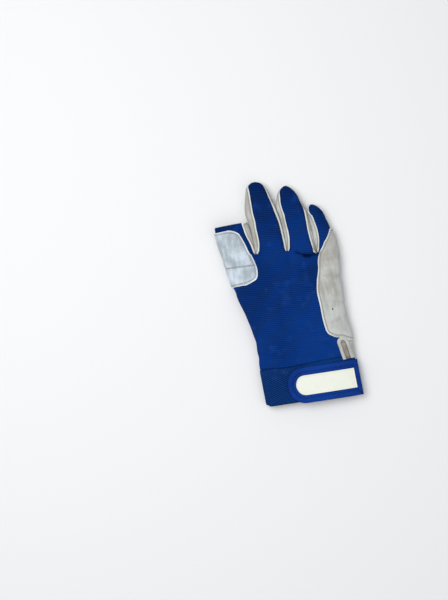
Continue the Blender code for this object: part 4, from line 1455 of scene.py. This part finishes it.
@dataclass(frozen=True)
class Patch:
    """Leather patch laid on the outside of the hand, its edges read from a table."""

    name: str
    node: str
    table: tuple[PatchRow, ...]
    columns: int
    rows: int
    finish: Finish
    side: Side = Side.BACK
    finger: int | None = None
    close_ends: float = 0.7
    stitch_inset: float = 1.9 * MM
    roll: tuple[float, float] = (0.45 * MM, 1.0 * MM)

    def spot(self, across: float, along: float, lift: float) -> Vector:
        """Point of the patch at two shares, lifted from the skin.

        Args:
            across: Share of the patch's width.
            along: Share of its length.
            lift: Height above the skin.

        Returns:
            The point, in the glove's own frame.
        """
        first, last = self.table[0].along, self.table[-1].along
        share = blend(first, last, blend(along, (1 - math.cos(math.pi * along)) / 2, self.close_ends))
        start, end = read(self.table, share, "start"), read(self.table, share, "end")
        y = FORM.palm_line(share)
        if self.finger is not None:
            finger = FINGERS[self.finger]
            y = FORM.palm_line(finger.root) + finger.length * share
        place = blend(start, end, across if self.side is Side.BACK else 1 - across)
        return FORM.hand_point(place, y, lift, self.side)

    def outline(self, inset: float, lift: float, steps: int = 60) -> list[Vector]:
        """Closed chain of points round the patch, a distance in from its edge."""
        corner = self.spot(0.0, 0.5, lift), self.spot(1.0, 0.5, lift)
        width = (corner[1] - corner[0]).length
        ends = self.spot(0.5, 0.0, lift), self.spot(0.5, 1.0, lift)
        length = (ends[1] - ends[0]).length
        side, end = inset / width, inset / length
        shares = [k / steps for k in range(steps + 1)]
        points = [self.spot(side, blend(end, 1 - end, k), lift) for k in shares]
        points += [self.spot(blend(side, 1 - side, k), 1 - end, lift) for k in shares]
        points += [self.spot(1 - side, blend(1 - end, end, k), lift) for k in shares]
        points += [self.spot(blend(1 - side, side, k), end, lift) for k in shares]
        return points

    def shaded_hole(self, shop: Workshop, name: str, centre: tuple[float, float], radius: float) -> None:
        """Add a dark disc to the patch, painted shade that stands for a small punched hole.

        Args:
            shop: Workshop that finishes it.
            name: Name of the disc.
            centre: Its place, as shares of the patch's width and length.
            radius: Its radius.
        """
        shape = bmesh.new()
        middle = self.spot(*centre, FORM.patch_lift + FORM.leather_wall)
        flat = Matrix.Translation(middle) @ Matrix.Diagonal((1.0, 1.15, 0.18, 1.0))
        bmesh.ops.create_uvsphere(shape, u_segments=20, v_segments=8, radius=radius, matrix=flat)
        shop.finish(shape, name, HOLE_SHADE)

    def build(self, shop: Workshop) -> None:
        """Build the patch and the row of stitches round it."""
        grid = Grid(self.columns, self.rows, lambda across, along: self.spot(across, along, FORM.patch_lift))
        shop.sheet(self.name, [grid], FORM.leather_wall, self.finish, [self.node], self.roll)
        rows = [self.outline(self.stitch_inset, FORM.patch_lift + FORM.leather_wall)]
        Stitching().build(shop, f"{self.name}_stitches", rows, GREY_THREAD)


@dataclass(frozen=True)
class Thumb:
    """Thumb tube, folded under the palm, its cover and the blue cloth behind its notch."""

    stations: int = 44
    columns: int = 46
    vee_depth: float = 32 * MM
    vee_width: float = 12.5 * MM
    insert_margin: float = 2 * MM
    insert_back: float = 1.5 * MM
    stitch_inset: float = 2.2 * MM
    roll: tuple[float, float] = (0.25 * MM, 1.0 * MM)
    insert_wall: float = 1.0 * MM
    insert_tip: float = 0.08
    cut_reach: float = 1.4
    stitch_lift: float = 0.05 * MM

    def cover_ends(self, share: float) -> tuple[Vector, Vector]:
        """Left and right ends of a section of the cover, between the cuff and the thumb's root."""
        y = FORM.palm_line(read(COVER_ROWS, share, "left"))
        left = FORM.joined(FORM.cover_inset, y, -FORM.leather_wall, Side.PALM)
        edge_y = FORM.palm_line(read(COVER_ROWS, share, "up"))
        palm_edge = FORM.joined(1.0, edge_y, -FORM.leather_wall, Side.PALM)
        height = min(palm_edge.z, FORM.thumb_height / 2)
        return left, Vector((palm_edge.x - 2 * FORM.seam_gap, edge_y, height))

    def tube_ends(self, share: float) -> tuple[Vector, Vector]:
        """Left and right ends of a section of the thumb, at half its height."""
        left, right = FORM.thumb_ends(share)
        raised = Vector((0, 0, FORM.thumb_height / 2))
        return left + raised, right + raised

    def across(self, ends: tuple[Vector, Vector], level: float, share: float) -> Vector:
        """Point across a section that settles to a level away from its ends."""
        left, right = ends
        point = left.lerp(right, (1 - math.cos(math.pi * share)) / 2)
        pull = min(1, FORM.settle * max(0, math.sin(math.pi * share)) ** (2 / FORM.finger_power))
        point.z = blend(point.z, level, pull)
        return point

    def lower(self, across: float, along: float) -> Vector:
        """Point of the lower wall: the cover first, then the tube."""
        station = round(2 * self.stations * along)
        if station < self.stations:
            ends = self.cover_ends(station / (self.stations - 1))
        else:
            ends = self.tube_ends((station - self.stations) / self.stations)
        point = self.across(ends, FORM.leather_wall, 1 - across)
        point.z += 0.3 * MM * max(0.0, noise.noise(point * 60)) * ease(math.sin(math.pi * across))
        return point

    def upper(self, across: float, along: float) -> Vector:
        """Point of the upper wall of the tube."""
        return self.across(self.tube_ends(along), FORM.thumb_height - FORM.leather_wall, across)

    def vee_frame(self) -> tuple[Vector, Vector, Vector]:
        """Middle of the thumb's end, the direction along it and the direction across it."""
        left, right = FORM.thumb_ends(1)
        across = (right - left).normalized()
        return (left + right) / 2, Vector((-across.y, across.x, 0)), across

    def vee_corners(self, past: float, margin: float) -> tuple[Vector, Vector, Vector]:
        """Tip and two open corners of the notch, past the thumb's end and widened by a margin."""
        centre, along, across = self.vee_frame()
        half = across * (self.vee_width / 2 + margin)
        tip = centre - along * (self.vee_depth + margin)
        return tip, centre + along * past - half, centre + along * past + half

    def cut_notch(self, shape: bmesh.types.BMesh) -> None:
        """Cut the notch out of the lower wall along its two edges."""
        tip, left, right = self.vee_corners(0, 0)
        middle = (left + right) / 2
        for corner in (left, right):
            low = [face for face in shape.faces if face.calc_center_median().z < FORM.thumb_height / 3]
            reach = self.cut_reach * self.vee_depth
            near = [face for face in low if (face.calc_center_median() - middle).length < reach]
            parts = {edge for face in near for edge in face.edges} | {v for face in near for v in face.verts}
            line = corner - tip
            bmesh.ops.bisect_plane(
                shape, geom=near + list(parts), dist=0.005 * MM, plane_co=tip, plane_no=(line.y, -line.x, 0))
        sides = [Vector((corner.y - tip.y, tip.x - corner.x, 0)) for corner in (left, right)]
        doomed = []
        for face in shape.faces:
            spot = face.calc_center_median()
            within = (spot - tip).dot(sides[0]) * (spot - tip).dot(sides[1]) < 0
            ahead = (spot - tip).dot(middle - tip) > 0
            if spot.z < FORM.thumb_height / 3 and within and ahead:
                doomed.append(face)
        bmesh.ops.delete(shape, geom=doomed, context="FACES")

    def insert_point(self, across: float, along: float) -> Vector:
        """Point of the blue cloth behind the notch."""
        tip, left, right = self.vee_corners(-self.insert_back, self.insert_margin)
        point = tip.lerp((left + right) / 2, along)
        point += (right - left) * (across - 0.5) * blend(self.insert_tip, 1.0, along)
        height = FORM.leather_wall + FORM.layer_gap + 0.25 * MM * noise.noise(point * 160)
        return Vector((point.x, point.y, height))

    def hems(self) -> list[list[Vector]]:
        """Rows of stitches beside the notch, at the thumb's end and beside the cover's inner edge."""
        tip, left, right = self.vee_corners(-self.stitch_inset, self.stitch_inset)
        low = Vector((0, 0, self.stitch_lift))
        rows = [[tip + low, left + low], [tip + low, right + low]]
        for along in (1 - self.stitch_inset / FORM.thumb_reach, 0.0):
            ends = self.tube_ends(along)
            rows.append([self.across(ends, 0.0, k / 40) + low for k in range(4, 37)])
        return rows

    def build(self, shop: Workshop) -> None:
        """Build the thumb, its insert and its stitches."""
        shape = bmesh.new()
        grids = [
            Grid(self.columns, 2 * self.stations, self.lower),
            Grid(self.columns, self.stations, self.upper),
        ]
        shop.grids(shape, grids)
        self.cut_notch(shape)
        shop.measure_rim(shape, *self.roll)
        shop.wall(shop.finish(shape, "leather_thumb", CREAM, ["thumb"]), FORM.leather_wall)
        insert = Grid(12, 30, self.insert_point)
        shop.sheet("cloth_thumb_insert", [insert], self.insert_wall, CLOTH, ["thumb_insert"])
        Stitching().build(shop, "thumb_stitches", self.hems(), CREAM_THREAD)


@dataclass(frozen=True)
class Cuff:
    """Ribbed ring at the wrist, with its mouth a little askew."""

    columns: int = 190
    rows: int = 34
    roll: tuple[float, float] = (0.35 * MM, 1.3 * MM)
    wave: float = 0.35 * MM
    pinch: float = 0.7 * MM
    pinch_reach: float = 2.6 * MM
    corner: float = 2 * MM
    corner_reach: float = 3 * MM

    def place(self, across: float, along: float) -> Vector:
        """Point of the inner face of the cuff."""
        angle = math.pi - 2 * math.pi * across
        plain = FORM.cuff_point(0, angle, -FORM.cuff_wall)
        mouth = -FORM.mouth_skew * (plain.x / FORM.palm_width + FORM.mouth_pivot)
        mouth += self.corner * ease((plain.x - FORM.cuff_sides()[0]) / -self.corner_reach + 1)
        top = FORM.seam_y(plain) - FORM.seam_gap
        y = blend(mouth, top, along)
        wave = self.wave * noise.noise(Vector((plain.x * 60, y * 70, 7)))
        pinch = self.pinch * bell(top - y, self.pinch_reach)
        up = max(0.0, math.sin(angle))
        return FORM.cuff_point(y, angle, up * (wave - pinch) - FORM.cuff_wall)

    def build(self, shop: Workshop) -> None:
        """Build the cuff."""
        grid = Grid(self.columns, self.rows, self.place)
        shop.sheet("cuff_twill_band", [grid], FORM.cuff_wall, CUFF_CLOTH, ["cuff_band"], self.roll)


@dataclass(frozen=True)
class Strap:
    """Wrist strap with a folded binding and a rubber pull patch, lying closed on the cuff."""

    length: float = 72 * MM
    width: float = 37 * MM
    centre: float = 15 * MM
    tilt: float = 3 * MM
    end_inset: float = 0.3 * MM
    wall: float = 1.5 * MM
    binding_width: float = 5 * MM
    end_width: float = 2.5 * MM
    binding_height: float = 3.6 * MM
    round_power: float = 2.4
    pull_length: float = 60.5 * MM
    pull_width: float = 20.5 * MM
    pull_wall: float = 1.0 * MM
    trim_gap: float = 0.7 * MM
    sweep: float = 0.99
    lump: float = 0.22 * MM
    pull_dish: float = 0.35 * MM
    pull_rim: float = 1.6 * MM
    pull_inset: float = 0.5 * MM
    stitch_inset: float = 0.7 * MM
    stitch_height: float = 0.86

    def half_width(self, share: float, length: float, width: float) -> float:
        """Share of the half width of a strip whose far end is round, at a share of its length."""
        start = 1 - width / 2 / length
        if share <= start:
            return 1.0
        return math.sqrt(max(0.0, 1 - ((share - start) / (1 - start)) ** self.round_power))

    def spot(self, run: float, side: float, inset: float, lift: float, size: tuple[float, float]) -> Vector:
        """Point over the cuff.

        Args:
            run: Share of the way from the square end to the round one.
            side: From -1 at the lower edge to 1 at the upper edge.
            inset: Distance of the strip's square end in from the strap's.
            lift: Height above the cuff.
            size: Length and width of the strip.

        Returns:
            The point, in the glove's own frame.
        """
        length, width = size
        end = FORM.cuff_sides()[1] - self.end_inset - inset
        turn = math.sin(math.pi / 2 * run)
        angle = blend(FORM.cuff_angle(end), FORM.cuff_angle(end - length), turn)
        point = FORM.cuff_point(0, angle, lift)
        along = end - FORM.cuff_point(0, angle, -FORM.cuff_wall).x
        centre = self.centre + self.tilt * ((along + inset) / self.length - 0.5)
        point.y = centre + side * width / 2 * self.half_width(along / length, length, width)
        return point

    def ring(self, run: float, side: float, inset: float, lift: float) -> Vector:
        """Point on the strap's outline moved in by an inset."""
        end_inset = inset * self.end_width / self.binding_width
        size = self.length - inset - end_inset, self.width - 2 * inset
        return self.spot(run, side, end_inset, lift, size)

    def base(self, across: float, along: float) -> Vector:
        """Point of the cloth strap under its binding."""
        return self.ring(self.sweep * (1 - across), 2 * along - 1, self.binding_width / 2, 0.5 * MM)

    def profile(self, share: float) -> tuple[float, float]:
        """Inset and lift round the section of the folded binding."""
        angle = 2 * math.pi * share
        inset = self.binding_width / 2 * (1 - 1.06 * signed_power(math.cos(angle), 0.8))
        middle = FORM.layer_gap + self.binding_height / 2
        return inset, middle + self.binding_height / 2 * signed_power(math.sin(angle), 0.8)

    def rim(self, across: float, along: float) -> Vector:
        """Point of the binding along the two long edges and the round end."""
        inset, lift = self.profile(across)
        lump = self.lump * noise.noise(Vector((along * 60, across * 2, 5)))
        return self.ring(1 - abs(2 * along - 1), math.copysign(1, 0.5 - along), inset, lift + lump)

    def square_end(self, across: float, along: float) -> Vector:
        """Point of the binding along the square end."""
        inset, lift = self.profile(across)
        lump = self.lump * noise.noise(Vector((0, across * 2, 5)))
        return self.ring(0, 2 * along - 1, inset, lift + lump)

    def pull(self, across: float, along: float) -> Vector:
        """Point of the rubber pull patch, a little dished between its edges."""
        lift = FORM.layer_gap + self.wall + self.trim_gap
        rim = min(across, 1 - across) * self.pull_length, min(along, 1 - along) * self.pull_width
        dish = self.pull_dish * bell(min(rim), self.pull_rim)
        inset, size = self.end_width + self.pull_inset, (self.pull_length, self.pull_width)
        return self.spot(self.sweep * (1 - across), 2 * along - 1, inset, lift + dish, size)

    def stitches(self) -> list[list[Vector]]:
        """Rows of stitches along the inner edge of the binding."""
        inset = self.binding_width - self.stitch_inset
        lift = FORM.layer_gap + self.binding_height * self.stitch_height
        rim = [self.ring(1 - abs(2 * k / 160 - 1), math.copysign(1, 80 - k), inset, lift) for k in range(161)]
        return [rim, [self.ring(0, k / 20 - 1, inset, lift) for k in range(41)]]

    def build(self, shop: Workshop) -> None:
        """Build the strap, its binding, its pull patch and their stitches."""
        shop.sheet("strap_cloth", [Grid(70, 30, self.base)], self.wall, BINDING_CLOTH, ["strap"])
        shape = bmesh.new()
        shop.grids(shape, [Grid(24, 200, self.rim), Grid(24, 30, self.square_end)])
        shop.measure_rim(shape, 0, MM)
        bmesh.ops.recalc_face_normals(shape, faces=shape.faces)
        shop.finish(shape, "strap_folded_binding", BINDING_CLOTH, ["strap_binding"])
        shop.sheet("strap_pull_patch", [Grid(96, 36, self.pull)], self.pull_wall, RUBBER, ["strap_patch"])
        Stitching().build(shop, "strap_stitches", self.stitches(), BLUE_THREAD)


@dataclass(frozen=True)
class Vent:
    """Bound slit at the wrist, beside the strap."""

    width: float = 12 * MM
    length: float = 23.5 * MM
    strip: float = 3.6 * MM
    height: float = 1.8 * MM
    across_place: float = 42.8 * MM
    lean: float = 0.16
    start: float = 34 * MM
    leg: float = 0.36
    side_top: float = 54.5 * MM
    side_drop: float = 2.1 * MM
    side_wall: float = 0.9 * MM
    side_roll: tuple[float, float] = (0.3 * MM, MM)
    floor_wall: float = 0.35 * MM

    def path(self, along: float, off: float, lift: float) -> Vector:
        """Point on the loop at a share of its length, moved out from its middle line and lifted."""
        half = (self.width - self.strip) / 2 + off
        straight = self.length - self.width / 2
        if along < self.leg:
            x, y = -half, straight * along / self.leg
        elif along > 1 - self.leg:
            x, y = half, straight * (1 - along) / self.leg
        else:
            turn = math.pi * (1 - self.leg - along) / (1 - 2 * self.leg)
            x, y = half * math.cos(turn), straight + half * math.sin(turn)
        y += self.start
        place = x + self.across_place - self.lean * (y - FORM.cuff_length)
        return FORM.body_point(y, FORM.body_angle(y, place), lift)

    def loop(self, across: float, along: float) -> Vector:
        """Point of the rolled leather loop."""
        angle = 2 * math.pi * across
        off = self.strip / 2 * math.cos(angle)
        return self.path(along, off, self.height * (0.45 + 0.55 * math.sin(angle)))

    def floor(self, across: float, along: float) -> Vector:
        """Point of the brownish leather seen in the slit, darkened with painted shade."""
        half = (self.width - self.strip) / 2
        y = self.start + blend(0, self.length - self.strip, along)
        x = self.across_place + blend(-half, half, across) - self.lean * (y - FORM.cuff_length)
        dip = 0.3 * MM * math.sin(math.pi * across)
        return FORM.body_point(y, FORM.body_angle(y, x), 0.15 * MM - dip)

    def side_leather(self, across: float, along: float) -> Vector:
        """Point of the leather between the loop and the edge of the hand."""
        y = blend(self.start, self.side_top - self.side_drop * across, along)
        x = self.across_place + (self.width - self.strip) / 2 - self.lean * (y - FORM.cuff_length)
        angle = blend(FORM.body_angle(y, x), math.radians(-FORM.ulnar_wrap), across)
        return FORM.body_point(y, angle, 0.1 * MM)

    def build(self, shop: Workshop) -> None:
        """Build the loop, the brownish leather inside it, darkened with painted shade, and the leather beside
        it.
        """
        shape = bmesh.new()
        shop.grids(shape, [Grid(14, 70, self.loop)])
        bmesh.ops.recalc_face_normals(shape, faces=shape.faces)
        bmesh.ops.holes_fill(shape, edges=[edge for edge in shape.edges if edge.is_boundary])
        shop.measure_rim(shape, 0, MM)
        shop.finish(shape, "vent_leather_loop", CREAM, ["vent_binding"])
        # leather in the slit: its darker colours and near-black edges are painted shade
        shop.sheet("vent_inner_leather", [Grid(10, 18, self.floor)], self.floor_wall, SHADED_LINING)
        side = Grid(16, 26, self.side_leather)
        shop.sheet("vent_side_leather", [side], self.side_wall, CREAM, roll=self.side_roll)


@dataclass(frozen=True)
class Studio:
    """Pale floor, soft light and the camera straight above the glove."""

    distance: float = 1.5
    pixel: float = 1.045 * MM
    frame_height: int = 600
    lean: float = math.radians(11)
    centre_px: tuple[float, float] = (224, 300)
    origin_px: tuple[float, float] = (313, 398)

    def camera(self, shop: Workshop) -> None:
        """Camera that shows the glove at its place in the photograph."""
        right = Vector((math.cos(self.lean), -math.sin(self.lean), 0))
        up = Vector((math.sin(self.lean), math.cos(self.lean), 0))
        off = Vector(self.centre_px) - Vector(self.origin_px)
        middle = shop.shift + (right * off.x - up * off.y) * self.pixel
        data = bpy.data.cameras.new("camera")
        data.sensor_width = 36
        data.lens = data.sensor_width * self.distance / (self.frame_height * self.pixel)
        data.clip_end = 10
        camera = bpy.data.objects.new("camera", data)
        camera.location = (middle.x, middle.y, self.distance)
        camera.rotation_euler = (0, 0, -self.lean)
        bpy.context.scene.collection.objects.link(camera)
        bpy.context.scene.camera = camera

    def lamp(self, name: str, place: Vector, size: float, power: float) -> None:
        """Square soft light aimed at the glove."""
        data = bpy.data.lights.new(name, "AREA")
        data.shape = "SQUARE"
        data.size = size
        data.energy = power
        lamp = bpy.data.objects.new(name, data)
        lamp.location = place
        lamp.rotation_euler = (-place).to_track_quat("-Z", "Y").to_euler()
        bpy.context.scene.collection.objects.link(lamp)

    def floor(self) -> None:
        """Plain pale floor under the glove."""
        shape = bmesh.new()
        bmesh.ops.create_grid(shape, x_segments=1, y_segments=1, size=4)
        bmesh.ops.translate(shape, verts=shape.verts, vec=(0, 0, -0.3 * MM))
        mesh = bpy.data.meshes.new("floor")
        shape.to_mesh(mesh)
        shape.free()
        paint = bpy.data.materials.new("floor_paint")
        paint.use_nodes = True
        shader = paint.node_tree.nodes["Principled BSDF"]
        shader.inputs["Base Color"].default_value = (0.855, 0.855, 0.855, 1)
        shader.inputs["Roughness"].default_value = 0.9
        mesh.materials.append(paint)
        floor = bpy.data.objects.new("floor", mesh)
        bpy.context.scene.collection.objects.link(floor)

    def build(self, shop: Workshop) -> None:
        """Set the floor, the light and the camera."""
        self.floor()
        self.camera(shop)
        self.lamp("soft_key", Vector((-0.45, 0.30, 1.25)), 0.9, 13.3)
        self.lamp("soft_fill", Vector((0.5, -0.6, 1.2)), 1.4, 4.2)
        world = bpy.data.worlds.new("studio")
        world.use_nodes = True
        sky = world.node_tree.nodes["Background"]
        sky.inputs[0].default_value = (0.92, 0.95, 1.0, 1)
        sky.inputs[1].default_value = 0.37
        bpy.context.scene.world = world
        bpy.context.scene.view_settings.view_transform = "Standard"


PATCHES = (
    Patch("index_leather_patch", "index_patch", INDEX_PATCH, 46, 60, PALE),
    Patch("side_leather_patch", "side_patch", SIDE_PATCH, 44, 110, CREAM),
    Patch("palm_leather_patch", "palm_patch", PALM_PATCH, 40, 50, CREAM, Side.PALM),
    Patch("middle_leather_strip", "middle_strip", MIDDLE_STRIP, 18, 50, CREAM, Side.PALM, 1),
    Patch("ring_leather_strip", "ring_strip", RING_STRIP, 18, 46, CREAM, Side.PALM, 2),
    Patch("little_leather_strip", "little_strip", LITTLE_STRIP, 14, 30, CREAM, Side.PALM, 3),
)


def main() -> None:
    """Build the glove's pieces in order, then its studio."""
    logging.basicConfig(level=logging.INFO, format="%(message)s")
    CUT_EDGE.extend(FORM.cut_edge())
    THUMB_OUTLINE.extend(FORM.thumb_outline())
    shop = Workshop()
    HandPanels().build(shop)
    for patch in PATCHES:
        patch.build(shop)
    # painted shade of a small punched hole in the side patch, as a flat dark disc
    PATCHES[1].shaded_hole(shop, "side_patch_hole_shade", (0.37, 0.352), 0.95 * MM)
    Thumb().build(shop)
    Cuff().build(shop)
    Strap().build(shop)
    Vent().build(shop)
    Studio().build(shop)


if __name__ == "__main__":
    main()
